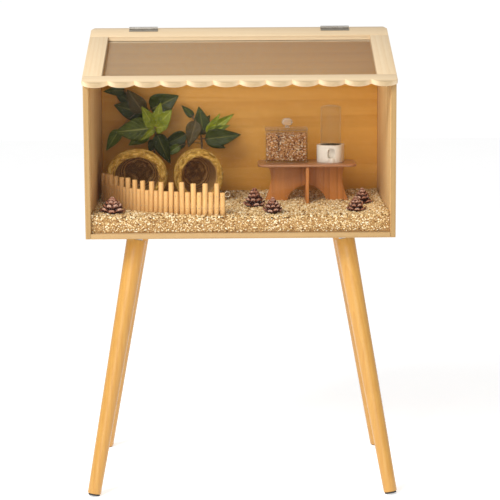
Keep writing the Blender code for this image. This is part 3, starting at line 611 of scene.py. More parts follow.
def crystal():
    made, tree, sockets, spot = finish_of("cut crystal", 0.02, IOR=1.52, Transmission_Weight=0.85)
    cloud = noisy(tree, spot, 120.0, 2.0)
    tree.links.new(
        ramp(tree, cloud, ((0.3, (0.98, 0.93, 0.78)), (0.7, (1.0, 0.99, 0.94)))), sockets["Base Color"]
    )
    return made


def ivory():
    made, tree, sockets, spot = finish_of("ivory moulded plastic", 0.34, Subsurface_Weight=0.0)
    speck = noisy(tree, spot, 900.0, 2.0, 0.7)
    dust = put(tree, "Group", {"Vector": spot, "Amount": 0.5}, node_tree=DUST).outputs["Mask"]
    base = blended(tree, spread(tree, speck, 0.3, 0.7), (0.77, 0.68, 0.55, 1.0), (0.83, 0.75, 0.63, 1.0))
    tree.links.new(blended(tree, dust, base, (0.66, 0.56, 0.42, 1.0)), sockets["Base Color"])
    tree.links.new(plus(tree, times(tree, dust, 0.2), 0.32), sockets["Roughness"])
    raised(tree, sockets, speck, 0.05, 0.0001)
    return made


def rubber():
    made, tree, sockets, spot = finish_of("black rubber", 0.8)
    speck = noisy(tree, spot, 1300.0, 3.0, 0.7)
    tree.links.new(
        ramp(tree, speck, ((0.3, (0.016, 0.016, 0.017)), (0.7, (0.045, 0.043, 0.040)))),
        sockets["Base Color"],
    )
    raised(tree, sockets, speck, 0.4, 0.0002)
    return made


def tinted(name, stops, roughness, grain_scale, rise, mottled=0.25):
    """Loose goods: each grain takes its colour from its own tint and is mottled."""
    made, tree, sockets, spot = finish_of(name, roughness, Specular_IOR_Level=0.15)
    tint = put(tree, "Attribute", attribute_name="tint").outputs["Fac"]
    fine = noisy(tree, spot, grain_scale, 3.0, 0.65)
    base = ramp(tree, tint, stops)
    tone = spread(tree, fine, 0.25, 0.75, 1.0 - mottled, 1.0 + mottled * 0.5)
    shade = put(tree, "CombineXYZ", {0: tone, 1: tone, 2: tone}).outputs[0]
    tree.links.new(blended(tree, 1.0, base, shade, "MULTIPLY"), sockets["Base Color"])
    tree.links.new(spread(tree, fine, 0.3, 0.7, roughness - 0.08, roughness + 0.06), sockets["Roughness"])
    raised(tree, sockets, fine, 0.5, rise)
    return made


pellets = tinted(
    "crushed cob bedding",
    (
        (0.0, (0.22, 0.095, 0.022)),
        (0.3, (0.54, 0.31, 0.105)),
        (0.7, (0.88, 0.65, 0.33)),
        (1.0, (1.00, 0.88, 0.62)),
    ),
    0.85,
    700.0,
    0.0006,
)
seeds = tinted(
    "seed mix",
    (
        (0.0, (0.13, 0.045, 0.015)),
        (0.25, (0.40, 0.15, 0.045)),
        (0.55, (0.66, 0.30, 0.09)),
        (0.8, (0.85, 0.50, 0.20)),
        (1.0, (0.95, 0.80, 0.55)),
    ),
    0.55,
    900.0,
    0.0003,
)
seed_bulk = tinted(
    "seed mix, between the seeds",
    ((0.0, (0.30, 0.11, 0.035)), (1.0, (0.50, 0.21, 0.07))),
    0.8,
    900.0,
    0.0003,
)
bedding_bulk = tinted(
    "bedding, between the pellets",
    ((0.0, (0.40, 0.22, 0.080)), (1.0, (0.58, 0.36, 0.15))),
    0.9,
    700.0,
    0.0004,
)
straw = tinted(
    "dried straw",
    ((0.0, (0.26, 0.11, 0.020)), (0.5, (0.66, 0.38, 0.070)), (1.0, (1.00, 0.74, 0.22))),
    0.7,
    500.0,
    0.0004,
    0.4,
)
# The darkest stops carry painted shade at the scale roots and the palest a painted highlight on the tips,
# besides the scales' own browns.
cone_scales = tinted(
    "pine cone scales",
    (
        (0.0, (0.040, 0.012, 0.007)),
        (0.5, (0.16, 0.050, 0.026)),
        (0.8, (0.36, 0.15, 0.085)),
        (1.0, (0.80, 0.56, 0.42)),
    ),
    0.65,
    700.0,
    0.0004,
    0.4,
)


def woven():
    """The woven wall of a straw nest: crossing strands with painted shade between them."""
    made, tree, sockets, spot = finish_of("woven straw", 0.85, Specular_IOR_Level=0.15)
    parts = put(tree, "SeparateXYZ", {0: put(tree, "TexCoord").outputs["UV"]}).outputs
    bent = noisy(tree, spot, 70.0, 3.0, 0.6)
    course = sums(tree, "SINE", plus(tree, times(tree, parts["Y"], 130.0), times(tree, bent, 9.0)))
    slant = sums(tree, "SINE", plus(tree, times(tree, parts["X"], 420.0), times(tree, parts["Y"], 90.0)))
    fine = noisy(tree, spot, 620.0, 4.0, 0.7)
    weave = plus(tree, times(tree, course, 0.22), times(tree, slant, 0.14))
    mass = plus(tree, plus(tree, weave, 0.05), times(tree, fine, 0.9))
    # Dark where the strands part: painted shade in the gaps; the fine noise is the straw's own uneven
    # colour.
    tree.links.new(
        ramp(
            tree,
            mass,
            ((0.15, (0.130, 0.050, 0.017)), (0.45, (0.48, 0.230, 0.070)), (0.85, (0.90, 0.55, 0.185))),
        ),
        sockets["Base Color"],
    )
    raised(tree, sockets, mass, 0.9, 0.0016)
    return made


def leaf_finish(name, blade, pale, rib):
    """A waxy leaf: a pale midrib with side veins, darker between them."""
    made, tree, sockets, spot = finish_of(name, 0.42, Coat_Roughness=0.35, Specular_IOR_Level=0.2)
    parts = put(tree, "SeparateXYZ", {0: put(tree, "TexCoord").outputs["UV"]}).outputs
    side = sums(tree, "ABSOLUTE", sums(tree, "SUBTRACT", parts["Y"], 0.5))
    midrib = spread(tree, side, 0.055, 0.012)
    run = sums(tree, "SUBTRACT", parts["X"], times(tree, side, 0.75))
    vein = spread(tree, sums(tree, "SINE", times(tree, run, 44.0)), 0.80, 1.0)
    blotch = noisy(tree, spot, 120.0, 3.0, 0.6)
    ground = blended(tree, spread(tree, blotch, 0.3, 0.7), (*blade, 1.0), (*pale, 1.0))
    lines = sums(tree, "MAXIMUM", midrib, times(tree, vein, 0.4))
    tree.links.new(blended(tree, lines, ground, (*rib, 1.0)), sockets["Base Color"])
    tree.links.new(spread(tree, blotch, 0.3, 0.7, 0.36, 0.50), sockets["Roughness"])
    sockets["Coat Weight"].default_value = 0.1
    raised(tree, sockets, sums(tree, "SUBTRACT", blotch, times(tree, lines, 1.4)), 0.5, 0.0006)
    return made


LEAVES = {
    "dark": leaf_finish(
        "dark green leaf", (0.018, 0.026, 0.003), (0.050, 0.062, 0.006), (0.13, 0.13, 0.02)
    ),
    "brown": leaf_finish(
        "leaf, brown underside", (0.050, 0.036, 0.010), (0.100, 0.070, 0.020), (0.17, 0.12, 0.04)
    ),
    "mid": leaf_finish("mid green leaf", (0.055, 0.080, 0.006), (0.130, 0.165, 0.016), (0.32, 0.34, 0.07)),
    "bright": leaf_finish(
        "bright green leaf", (0.120, 0.150, 0.004), (0.260, 0.290, 0.010), (0.40, 0.42, 0.05)
    ),
}


def make_stem():
    made, tree, sockets, spot = finish_of("vine bark", 0.7)
    rough = noisy(tree, spot, 350.0, 4.0, 0.6)
    tree.links.new(
        ramp(tree, rough, ((0.3, (0.075, 0.045, 0.016)), (0.7, (0.28, 0.17, 0.075)))), sockets["Base Color"]
    )
    raised(tree, sockets, rough, 0.6, 0.0006)
    return made


# The case, the lid and the legs -------------------------------------------------------------------


def make_case():
    for side in SIDES:
        eased("side_panel_" + side, 0.0007, pine_side, "case")
    eased("floor_panel", 0.0006, pine_floor, "case")
    eased("back_panel", 0.0005, pine_back, "case")
    eased("ridge_board", 0.0009, pine_lid, "case")
    eased("front_pane", 0.0003, pane_clear, "front_pane", 2)


def make_lid():
    front = welded("lid_rail_front")
    lobes = [
        edge for edge in front.edges if math.radians(10) < edge.calc_face_angle(0.0) < math.radians(30)
    ]
    bmesh.ops.bevel(front, geom=lobes, offset=0.0021, segments=2, profile=0.5, affect="EDGES", material=-1)
    rounded_over(front, 0.0012, 3, 45.0)
    piece("lid_rail_front_scalloped", front, pine_lip, "lid", "lid_rail_front")
    eased("lid_rail_rear", 0.0008, pine_lid, "lid")
    for side in SIDES:
        eased("lid_stile_" + side, 0.0008, pine_stile, "lid")
    eased("mesh_bead", 0.0008, pine_lid, "lid", 2)
    keep(pine_stile, *[f"dowel_{side}_{end}" for side in SIDES for end in ("front", "rear")])


def make_wire_mesh():
    """Woven wires both ways, one pair of them repeated by an array."""
    low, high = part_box("lid_mesh")
    pitch = 0.0022
    thick = 0.0002
    rise = 0.0002
    slope = Matrix.Rotation(LID_PITCH, 4, "X")
    inset = 0.0006
    length = (high.y - low.y) / math.cos(LID_PITCH) - inset
    width = high.x - low.x - 2 * inset
    middle = (low + high) / 2
    place = Matrix.Translation(middle) @ slope
    across = int(width / pitch)
    down = int(length / pitch)
    for name, count, crossings, turn, lift, nodes in (
        ("mesh_wires_down", across, down, Matrix.Rotation(math.pi / 2, 4, "Z"), -rise, ("lid_mesh",)),
        ("mesh_wires_across", down, across, Matrix.Identity(4), rise, ()),
    ):
        first = -(crossings - 1) / 2
        routes = []
        for row in (0, 1):
            side = (row - (count - 1) / 2) * pitch
            routes.append([
                ((first + step) * pitch, side, lift * (1 if (step + row) % 2 else -1))
                for step in range(crossings)
            ])
        shape = strands(routes, thick, 0)
        shape.transform(place @ turn)
        made = piece(name, shape, wire_steel, "lid", *nodes, slot="lid_mesh", sharp=80.0)
        repeat = made.modifiers.new("repeat", "ARRAY")
        repeat.count = count // 2
        repeat.use_relative_offset = False
        repeat.use_constant_offset = True
        repeat.constant_offset_displace = (place @ turn).to_3x3() @ Vector((0.0, 2 * pitch, 0.0))


def screw_shape(radius, dome):
    """A countersunk screw head with a cross recess, its face up along +Z."""
    head = spun(
        [
            (0.0, dome),
            (radius * 0.55, dome * 0.8),
            (radius * 0.92, dome * 0.25),
            (radius, 0.0),
            (radius * 0.45, -radius * 0.55),
            (0.0, -radius * 0.55),
        ],
        20,
    )
    arm = radius * 0.62
    thin = radius * 0.13
    cross = block((-arm, -thin, -radius * 0.2), (arm, thin, dome * 2))
    other = block((-thin, -arm, -radius * 0.2), (thin, arm, dome * 2))
    return carved(carved(head, cross), other)


SCREW_PITCH = 0.019
SCREW_OFF_THE_PIN = 0.009
SCREW_IN_THE_PLATE = 0.009


def make_screws():
    """Screws in the hinge leaves and in the leg plates, each set a little differently."""
    chance = random.Random(5)
    axis = next(joint for joint in frame["joints"] if joint["name"] == "lid_hinge")["pos_m"]
    for body, tilt, off in (
        ("case", Matrix.Identity(3), SCREW_OFF_THE_PIN),
        ("lid", Matrix.Rotation(LID_PITCH, 3, "X"), -SCREW_OFF_THE_PIN),
    ):
        places = []
        for side in SIDES:
            low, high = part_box(f"hinge_{side}_case_leaf")
            middle = (low.x + high.x) / 2
            for step in (-1, 0, 1):
                spot = Vector((middle + SCREW_PITCH * step, axis[1], axis[2]))
                spot += tilt @ Vector((0.0, off, -0.00185))
                turn = tilt @ Matrix.Rotation(chance.uniform(0, math.pi), 3, "Z")
                places.append(Matrix.Translation(spot) @ turn.to_4x4())
        strewn(
            f"hinge_screws_{body}",
            [screw_shape(0.0023, 0.0005)],
            places,
            [0.5] * len(places),
            bright_steel,
            body,
            slot=f"hinge_left_{body}_leaf",
        )
    places = []
    for side in SIDES:
        for end in ("front", "back"):
            low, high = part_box(f"leg_plate_{end}_{side}")
            top = max(low.z, high.z)
            for x in (high.x - SCREW_IN_THE_PLATE, low.x + SCREW_IN_THE_PLATE):
                for y in (low.y + SCREW_IN_THE_PLATE, high.y - SCREW_IN_THE_PLATE):
                    face = Matrix.Translation((x, y, top - 0.0027)) @ Matrix.Rotation(math.pi, 4, "X")
                    places.append(face @ Matrix.Rotation(chance.uniform(0, math.pi), 4, "Z"))
    strewn(
        "leg_plate_screws",
        [screw_shape(0.0035, 0.0011)],
        places,
        [0.5] * len(places),
        bright_steel,
        "case",
        slot="leg_plate_front_left",
    )


def make_legs():
    """Turned legs with softened ends, on the axes of the CAD legs."""
    for side in SIDES:
        for end in ("front", "back"):
            name = f"{end}_{side}"
            mesh = NODES["leg_" + name].data
            points = np.array([vert.co for vert in mesh.vertices])
            upper = points[:, 2] > points[:, 2].mean()
            head = Vector((points[upper].min(0) + points[upper].max(0)) / 2)
            foot = Vector((points[~upper].min(0) + points[~upper].max(0)) / 2)
            way = (foot - head).normalized()
            reach = (points - np.array(head)) @ np.array(way)
            off = np.linalg.norm(points - np.array(head) - np.outer(reach, np.array(way)), axis=1)
            start = reach.min()
            stop = reach.max()
            top_radius = off[reach < (start + stop) / 2].max()
            foot_radius = off[reach > (start + stop) / 2].max()
            soft = 0.0012
            length = stop - start
            profile = [
                (0.0, length),
                (top_radius - soft, length),
                (top_radius - soft * 0.3, length - soft * 0.3),
                (top_radius, length - soft),
            ]
            for step in range(1, 12):
                share = step / 12
                profile.append((top_radius + (foot_radius - top_radius) * share, length * (1 - share)))
            profile += [
                (foot_radius, soft),
                (foot_radius - soft * 0.3, soft * 0.3),
                (foot_radius - soft, 0.0),
                (0.0, 0.0),
            ]
            shape = spun(profile, 48)
            turn = (-way).to_track_quat("Z", "Y").to_matrix().to_4x4()
            shape.transform(Matrix.Translation(head + way * stop) @ turn)
            piece("leg_turned_" + name, shape, honey, "case", "leg_" + name)
            keep(zinc_steel, "leg_plate_" + name, "hanger_bolt_" + name)
            keep(rubber_black, "foot_pad_" + name)


# The furnishings ----------------------------------------------------------------------------------


def grains(count, size, seed, long=1.25):
    """A few lumpy low shapes of about one size."""
    made = []
    for index in range(count):
        shape = bmesh.new()
        bmesh.ops.create_icosphere(shape, subdivisions=1, radius=size / 2)
        for vert in shape.verts:
            lump = noise.noise(vert.co * 900.0 + Vector((index * 7.0, seed, 0.0)))
            vert.co *= 1.0 + 0.35 * lump
        bmesh.ops.scale(shape, verts=shape.verts, vec=(long, 0.95, 0.72))
        made.append(shape)
    return made


def tumbled(chance, place, low=0.75, high=1.25):
    turn = Matrix.Rotation(
        chance.uniform(0, math.tau), 4, (chance.gauss(0, 1), chance.gauss(0, 1), chance.gauss(0, 1) + 0.01)
    )
    return Matrix.Translation(place) @ turn @ Matrix.Scale(chance.uniform(low, high), 4)


def heap(x, y):
    """How high the bedding is heaped over its plain level at a place."""
    low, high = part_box("bedding")
    broad = noise.noise(Vector((x * 13.0, y * 16.0, 3.0)))
    close = noise.noise(Vector((x * 45.0, y * 45.0, 9.0)))
    back = max(0.0, (y - 0.02) / (high.y - 0.02))
    side = max(0.0, (abs(x) - 0.20) / 0.09)
    front = max(0.0, 1.0 - (y - low.y) / 0.035)
    return 0.0012 + 0.0026 * broad + 0.0014 * close + 0.007 * back + 0.004 * side**2 - 0.0022 * front**2


GRAIN_MARGIN = 0.0025
GRAINS_IN_A_PIECE = 9500


def make_bedding():
    low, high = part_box("bedding")
    chance = random.Random(11)
    core = block((low.x, low.y + 0.0022, low.z), (high.x, high.y, high.z - 0.001))
    bmesh.ops.subdivide_edges(core, edges=core.edges[:], cuts=40, use_grid_fill=True)
    for vert in core.verts:
        if vert.co.z > high.z - 0.0015:
            vert.co.z += heap(vert.co.x, vert.co.y) - 0.0015
    places = []
    tints = []
    pitch = 0.0035
    for column in range(int((high.x - low.x) / pitch)):
        for row in range(int((high.y - low.y) / pitch)):
            x = low.x + pitch * (column + chance.uniform(0.1, 1.0))
            y = low.y + pitch * (row + chance.uniform(0.1, 1.0))
            x = min(max(x, low.x + GRAIN_MARGIN), high.x - GRAIN_MARGIN)
            y = min(max(y, low.y + GRAIN_MARGIN), high.y - GRAIN_MARGIN)
            z = high.z + heap(x, y) + chance.uniform(-0.0020, 0.0010)
            places.append(tumbled(chance, (x, y, z)))
            tints.append(min(1.0, max(0.0, chance.gauss(0.55, 0.24))))
    pitch = 0.0033
    for column in range(int((high.x - low.x) / pitch)):
        for row in range(int((high.z - low.z) / pitch)):
            x = low.x + pitch * (column + chance.uniform(0.1, 1.0))
            z = low.z + 0.002 + pitch * (row + chance.uniform(0.0, 1.0))
            x = min(max(x, low.x + GRAIN_MARGIN), high.x - GRAIN_MARGIN)
            places.append(tumbled(chance, (x, low.y + chance.uniform(0.0022, 0.0034), z), 0.6, 1.1))
            tints.append(min(1.0, max(0.0, chance.gauss(0.56, 0.30))))
    piece("bedding_mass", core, bedding_bulk, "case", "bedding")
    for part, start in enumerate(range(0, len(places), GRAINS_IN_A_PIECE)):
        pick = slice(start, start + GRAINS_IN_A_PIECE)
        strewn(
            f"bedding_grains_{part + 1}",
            grains(7, 0.0046, part),
            places[pick],
            tints[pick],
            pellets,
            "case",
            slot="bedding",
            sharp=60.0,
        )


FENCE_ROUTE = (
    (-0.0345, -0.152),
    (-0.075, -0.1505),
    (-0.118, -0.142),
    (-0.160, -0.122),
    (-0.200, -0.090),
    (-0.234, -0.050),
    (-0.260, -0.008),
    (-0.2795, 0.038),
)
STICK_RADIUS = 0.0052
STICK_PITCH = 2 * STICK_RADIUS + 0.001


def make_fence():
    """Round sticks side by side on two wires, one tall and one short in turn, with a ring at the end."""
    chance = random.Random(3)
    route = smooth_route([(x, y, 0.0) for x, y in FENCE_ROUTE])
    spots = [route[0]]
    left = STICK_PITCH
    for start, end in zip(route, route[1:]):
        length = (end - start).length
        done = 0.0
        while length - done >= left:
            done += left
            spots.append(start + (end - start) * (done / length))
            left = STICK_PITCH
        left -= length - done
    sticks = bmesh.new()
    for index, spot in enumerate(spots):
        height = (0.0645 if index % 2 else 0.0455) * chance.uniform(0.965, 1.0)
        radius = STICK_RADIUS * chance.uniform(0.97, 1.02)
        lean = Matrix.Rotation(
            chance.uniform(-0.018, 0.018), 4, "Y"
        ) @ Matrix.Rotation(chance.uniform(-0.02, 0.02), 4, "X")
        made = bmesh.ops.create_cone(
            sticks,
            cap_ends=True,
            segments=16,
            radius1=radius,
            radius2=radius * chance.uniform(0.94, 1.0),
            depth=height,
            matrix=Matrix.Translation((spot.x, spot.y, STANDING + height / 2)) @ lean,
        )
        rims = [
            edge
            for edge in {e for v in made["verts"] for e in v.link_edges}
            if edge.calc_face_angle(0.0) > 1.0
        ]
        bmesh.ops.bevel(
            sticks, geom=rims, offset=0.0009, segments=2, profile=0.5, affect="EDGES", material=-1
        )
    piece("fence_sticks", sticks, stick_wood, "case", "fence")
    routes = []
    for height in (0.014, 0.037):
        for side in (-1, 1):
            line = []
            for index, spot in enumerate(spots):
                before = spots[max(0, index - 1)]
                after = spots[min(len(spots) - 1, index + 1)]
                way = (after - before).normalized()
                out = Vector((-way.y, way.x, 0.0)) * side * (1 if index % 2 else -1)
                line.append((*(spot + out * (STICK_RADIUS + 0.0002)), ))
            routes.append([(x, y, STANDING + height) for x, y, _ in line])
    end = spots[0]
    centre = Vector((end.x + STICK_RADIUS + 0.0042, end.y, STANDING + 0.037 + 0.0042))
    ring = [
        (
            centre.x + 0.0050 * math.cos(math.tau * i / 20),
            centre.y,
            centre.z + 0.0050 * math.sin(math.tau * i / 20),
        )
        for i in range(21)
    ]
    tail = [(end.x, end.y, STANDING + 0.037), (centre.x, centre.y - 0.0006, STANDING + 0.0365)]
    wires = strands(routes + [ring, tail], 0.0007, 1)
    piece("fence_wires", wires, wire_steel, "case", slot="fence")


def make_nest(side, middle, mouth, half_width, opening, turn, seed):
    """A woven barrel on its side, with ropes of straw round its mouth and loose strands on it."""
    low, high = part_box("nest_" + side)
    chance = random.Random(seed)
    half_height = (high.z - low.z) / 2
    length = 0.092
    centre = Vector((middle, mouth + length, (low.z + high.z) / 2))
    place = (
        Matrix.Translation(centre)
        @ Matrix.Rotation(turn, 4, "Z")
        @ Matrix.Rotation(math.pi / 2, 4, "X")
        @ Matrix.Diagonal((half_width / half_height, 1.0, 1.0, 1.0))
    )
    wall = 0.009
    full = half_height - 0.0012
    outline = [
        (0.0, wall), (full * 0.50, wall * 1.2), (
            (full - wall) * 0.90, length * 0.38
        ), (full - wall, length * 0.72),
        (full * opening, length - wall), (
            full * (opening + 0.03), length - 0.003
        ), (full * (opening + 0.12), length - 0.001),
        (
            full * 0.94, length - 0.008
        ), (full, length * 0.72), (full * 0.93, length * 0.40), (full * 0.72, length * 0.10),
        (full * 0.5, 0.0015), (0.0, 0.0015),
    ]
    smooth = smooth_route([(r, z, 0.0) for r, z in outline], 5)
    profile = []
    for index, spot in enumerate(smooth):
        coil = 0.0009 * abs(math.sin(index * 1.35))
        profile.append(
            (
                max(0.0, min(spot.x, full) - coil) if 0 < index < len(smooth) - 1 else 0.0,
                min(max(spot.y, 0.0015), length - 0.0008),
            )
        )
    shape = spun(profile, 64)
    layer = shape.loops.layers.uv.new("UVMap")
    for face in shape.faces:
        for loop in face.loops:
            angle = math.atan2(loop.vert.co.y, loop.vert.co.x) / math.tau
            loop[layer].uv = (abs(angle) * 2, loop.vert.co.z / length)
    for vert in shape.verts:
        lump = noise.noise(vert.co * 160.0 + Vector((seed, 0, 0)))
        vert.co.xy *= 1.0 - 0.02 * abs(lump)
    shape.transform(place)
    piece(f"nest_{side}_wall", shape, woven_straw, "case", "nest_" + side, sharp=180.0)

    routes = []
    for _ in range(420):
        start = chance.uniform(0, math.tau)
        sweep = chance.uniform(0.35, 1.3)
        depth = chance.random()
        radius = full * (opening + 0.03 + (0.95 - opening) * depth)
        crown = length - 0.0006 - 0.0065 * max(
            0.0, (depth - 0.45) / 0.55
        ) ** 2 - 0.004 * max(0.0, (0.15 - depth) / 0.15)
        drift = chance.uniform(-0.004, 0.004)
        line = []
        for step in range(9):
            share = step / 8
            angle = start + sweep * share
            out = min(full - 0.0002, radius + drift * share + 0.0006 * math.sin(7 * share + start))
            line.append(
                (
                    out * math.cos(angle),
                    out * math.sin(angle),
                    crown - 0.0008 * chance.random(),
                    math.sin(math.pi * (0.1 + 0.8 * share)) ** 0.5,
                )
            )
        routes.append(line)
    for _ in range(330):
        start = chance.uniform(0, math.tau)
        sweep = chance.uniform(0.3, 1.0)
        height = length * chance.uniform(0.10, 0.92)
        drift = chance.uniform(-0.006, 0.006)
        line = []
        for step in range(8):
            share = step / 7
            angle = start + sweep * share
            z = height + drift * share
            bulge = 0.72 + 0.28 * min(1.0, max(0.0, z / length) / 0.72) ** 0.5
            out = min(full - 0.0001, full * bulge + 0.0008)
            line.append(
                (
                    out * math.cos(angle),
                    out * math.sin(angle),
                    z,
                    math.sin(math.pi * (0.1 + 0.8 * share)) ** 0.5,
                )
            )
        routes.append(line)
    for _ in range(240):
        start = chance.uniform(0, math.tau)
        sweep = chance.uniform(0.3, 1.0)
        height = length * chance.uniform(0.25, 0.86)
        line = []
        for step in range(7):
            share = step / 6
            angle = start + sweep * share
            out = full - wall - 0.0004
            out = min(out, full * opening + (length - wall - height) * 0.6 + 0.004)
            line.append(
                (
                    out * math.cos(angle),
                    out * math.sin(angle),
                    height + chance.uniform(-0.0006, 0.0006),
                    math.sin(math.pi * (0.1 + 0.8 * share)) ** 0.5,
                )
            )
        routes.append(line)
    straws = strands(routes, 0.00062, 0)
    straws.transform(place)
    tint = straws.verts.layers.float.new("tint")
    for vert in straws.verts:
        vert[tint] = 0.5 + 0.75 * noise.noise(vert.co * 220.0)
    piece(f"nest_{side}_straws", straws, straw, "case", slot="nest_" + side, sharp=80.0)


def blade(name, foot, tip, width, finish, curl, fold):
    """One leaf: a grid drawn out to a leaf's outline, folded along its midrib and curled."""
    foot = Vector(foot)
    tip = Vector(tip)
    length = (tip - foot).length
    way = (tip - foot).normalized()
    across = way.cross(Vector((0.0, 1.0, 0.0))).normalized()
    facing = across.cross(way)
    if facing.y > 0:
        facing = -facing
    shape = bmesh.new()
    bmesh.ops.create_grid(shape, x_segments=16, y_segments=8, size=0.5)
    layer = shape.loops.layers.uv.new("UVMap")
    for face in shape.faces:
        for loop in face.loops:
            loop[layer].uv = (loop.vert.co.x + 0.5, loop.vert.co.y + 0.5)
    for vert in shape.verts:
        share = vert.co.x + 0.5
        side = vert.co.y * 2
        swell = math.sin(math.pi * share**0.62) ** 0.85 * (1.0 - 0.25 * share) + 0.015
        ripple = 0.035 * width * math.sin(share * 17 + side * 3) * abs(side)
        lift = fold * width * 0.5 * swell * abs(side) ** 1.5 - curl * length * (share - 0.35) ** 2 + ripple
        spot = foot + way * length * share + across * side * swell * width / 2
        vert.co = spot + facing * lift
    bmesh.ops.remove_doubles(shape, verts=shape.verts, dist=0.00002)
    made = piece(
        name, shape, finish, "case", sharp=180.0, slot="vine_left" if foot.x < -0.13 else "vine_right"
    )
    skin = made.modifiers.new("thickness", "SOLIDIFY")
    skin.thickness = 0.0005
    skin.offset = 0.0
    return made


LEFT_LEAVES = (
    ("dark", (-0.232, 0.147, 0.752), (-0.262, 0.147, 0.776), 0.024),
    ("dark", (-0.196, 0.146, 0.742), (-0.222, 0.147, 0.704), 0.034),
    ("dark", (-0.178, 0.144, 0.720), (-0.150, 0.145, 0.741), 0.034),
    ("mid", (-0.190, 0.128, 0.690), (-0.232, 0.126, 0.662), 0.032),
    ("dark", (-0.178, 0.138, 0.672), (-0.190, 0.139, 0.646), 0.022),
    ("dark", (-0.239, 0.145, 0.775), (-0.284, 0.143, 0.773), 0.022),
    ("dark", (-0.206, 0.140, 0.728), (-0.262, 0.141, 0.745), 0.044),
    ("brown", (-0.201, 0.131, 0.731), (-0.233, 0.128, 0.777), 0.039),
    ("dark", (-0.185, 0.136, 0.735), (-0.127, 0.133, 0.764), 0.055),
    ("bright", (-0.176, 0.106, 0.700), (-0.202, 0.100, 0.745), 0.031),
    ("bright", (-0.176, 0.105, 0.700), (-0.163, 0.102, 0.752), 0.028),
    ("bright", (-0.176, 0.105, 0.700), (-0.140, 0.100, 0.737), 0.040),
    ("bright", (-0.176, 0.104, 0.700), (-0.150, 0.098, 0.704), 0.028),
    ("bright", (-0.176, 0.105, 0.699), (-0.206, 0.102, 0.673), 0.015),
    ("mid", (-0.185, 0.121, 0.698), (-0.260, 0.118, 0.690), 0.054),
    ("mid", (-0.251, 0.130, 0.694), (-0.279, 0.129, 0.651), 0.027),
    ("dark", (-0.173, 0.130, 0.685), (-0.146, 0.132, 0.622), 0.035),
)
RIGHT_LEAVES = (
    ("dark", (-0.084, 0.145, 0.690), (-0.062, 0.146, 0.722), 0.024),
    ("dark", (-0.118, 0.143, 0.672), (-0.140, 0.144, 0.645), 0.024),
    ("dark", (-0.097, 0.143, 0.719), (-0.121, 0.145, 0.743), 0.017),
    ("dark", (-0.112, 0.141, 0.683), (-0.167, 0.142, 0.656), 0.031),
    ("mid", (-0.125, 0.136, 0.660), (-0.159, 0.135, 0.638), 0.020),
    ("dark", (-0.075, 0.135, 0.682), (-0.085, 0.134, 0.741), 0.040),
    ("brown", (-0.091, 0.126, 0.712), (-0.107, 0.126, 0.657), 0.035),
    ("bright", (-0.069, 0.125, 0.687), (-0.012, 0.123, 0.726), 0.026),
    ("bright", (-0.069, 0.125, 0.687), (-0.040, 0.121, 0.728), 0.017),
    ("mid", (-0.067, 0.125, 0.687), (-0.020, 0.121, 0.703), 0.019),
    ("dark", (-0.073, 0.121, 0.674), (0.002, 0.120, 0.683), 0.042),
    ("dark", (-0.064, 0.122, 0.672), (-0.030, 0.121, 0.655), 0.023),
)
LEFT_STEM = (
    (-0.178, 0.140, 0.5523), (-0.179, 0.139, 0.620), (-0.177, 0.138, 0.696), (-0.187, 0.137, 0.729),
    (-0.203, 0.138, 0.733), (-0.238, 0.143, 0.774),
)
RIGHT_STEM = (
    (-0.078, 0.142, 0.5523), (-0.079, 0.141, 0.610), (-0.081, 0.140, 0.678), (-0.086, 0.138, 0.700),
    (-0.097, 0.141, 0.719),
)


def make_vines():
    for side, stem, leaves in (("left", LEFT_STEM, LEFT_LEAVES), ("right", RIGHT_STEM, RIGHT_LEAVES)):
        chance = random.Random(len(leaves))
        trunk = smooth_route(stem, 8)
        routes = [[(*spot, 1.6 - 0.9 * index / len(trunk)) for index, spot in enumerate(trunk)]]
        twist = []
        for index, spot in enumerate(trunk):
            angle = index * 0.9
            twist.append(
                (spot.x + 0.0022 * math.cos(angle), spot.y + 0.0022 * math.sin(angle), spot.z, 0.8)
            )
        routes.append(twist)
        for _, foot, tip, _ in leaves:
            foot = Vector(foot)
            nearest = min(trunk, key=lambda spot: (spot - foot).length)
            way = (Vector(tip) - foot).normalized()
            middle = (nearest + foot) / 2 + Vector((0.0, 0.002, 0.003))
            twig = smooth_route([nearest, middle, foot, foot + way * 0.006], 4)
            routes.append([(*spot, 0.55) for spot in twig])
        vine = strands(routes, 0.0013, 2)
        piece(f"vine_{side}_stem", vine, bark, "case", "vine_" + side, sharp=80.0)
        for index, (shade, foot, tip, width) in enumerate(leaves):
            blade(
                f"vine_{side}_leaf_{index + 1}",
                foot,
                tip,
                width,
                LEAVES[shade],
                chance.uniform(0.05, 0.2),
                chance.uniform(0.12, 0.4),
            )


def cone_scale():
    """One scale along X: thin at its root, with a thick upturned pale end."""
    scale = block((0.0, -0.5, -0.5), (1.0, 0.5, 0.5))
    long = [edge for edge in scale.edges if abs(edge.verts[0].co.x - edge.verts[1].co.x) > 0.5]
    bmesh.ops.subdivide_edges(scale, edges=long, cuts=4, use_grid_fill=True)
    wide = [edge for edge in scale.edges if abs(edge.verts[0].co.y - edge.verts[1].co.y) > 0.5]
    bmesh.ops.subdivide_edges(scale, edges=wide, cuts=1, use_grid_fill=True)
    tint = scale.verts.layers.float.new("tint")
    for vert in scale.verts:
        x, y, z = vert.co
        swell = 0.28 + 0.72 * math.sin(math.pi * min(1.0, 0.15 + x * 0.68)) ** 1.5
        thick = 0.07 + 0.10 * x**3
        point = 0.06 * (1.0 - 4 * y * y) * x
        # Darker toward the root, partly painted shade deep between the scales; the pale step at the end is
        # partly the tip's own colour and partly a painted highlight.
        vert[tint] = 0.12 + 0.33 * x * x + (0.38 if x > 0.9 else 0.0)
        vert.co = Vector(
            (min(1.0, x * 0.94 + point), y * swell, z * thick + 0.30 * x**2.2 - 0.18 * y * y * x)
        )
    return scale


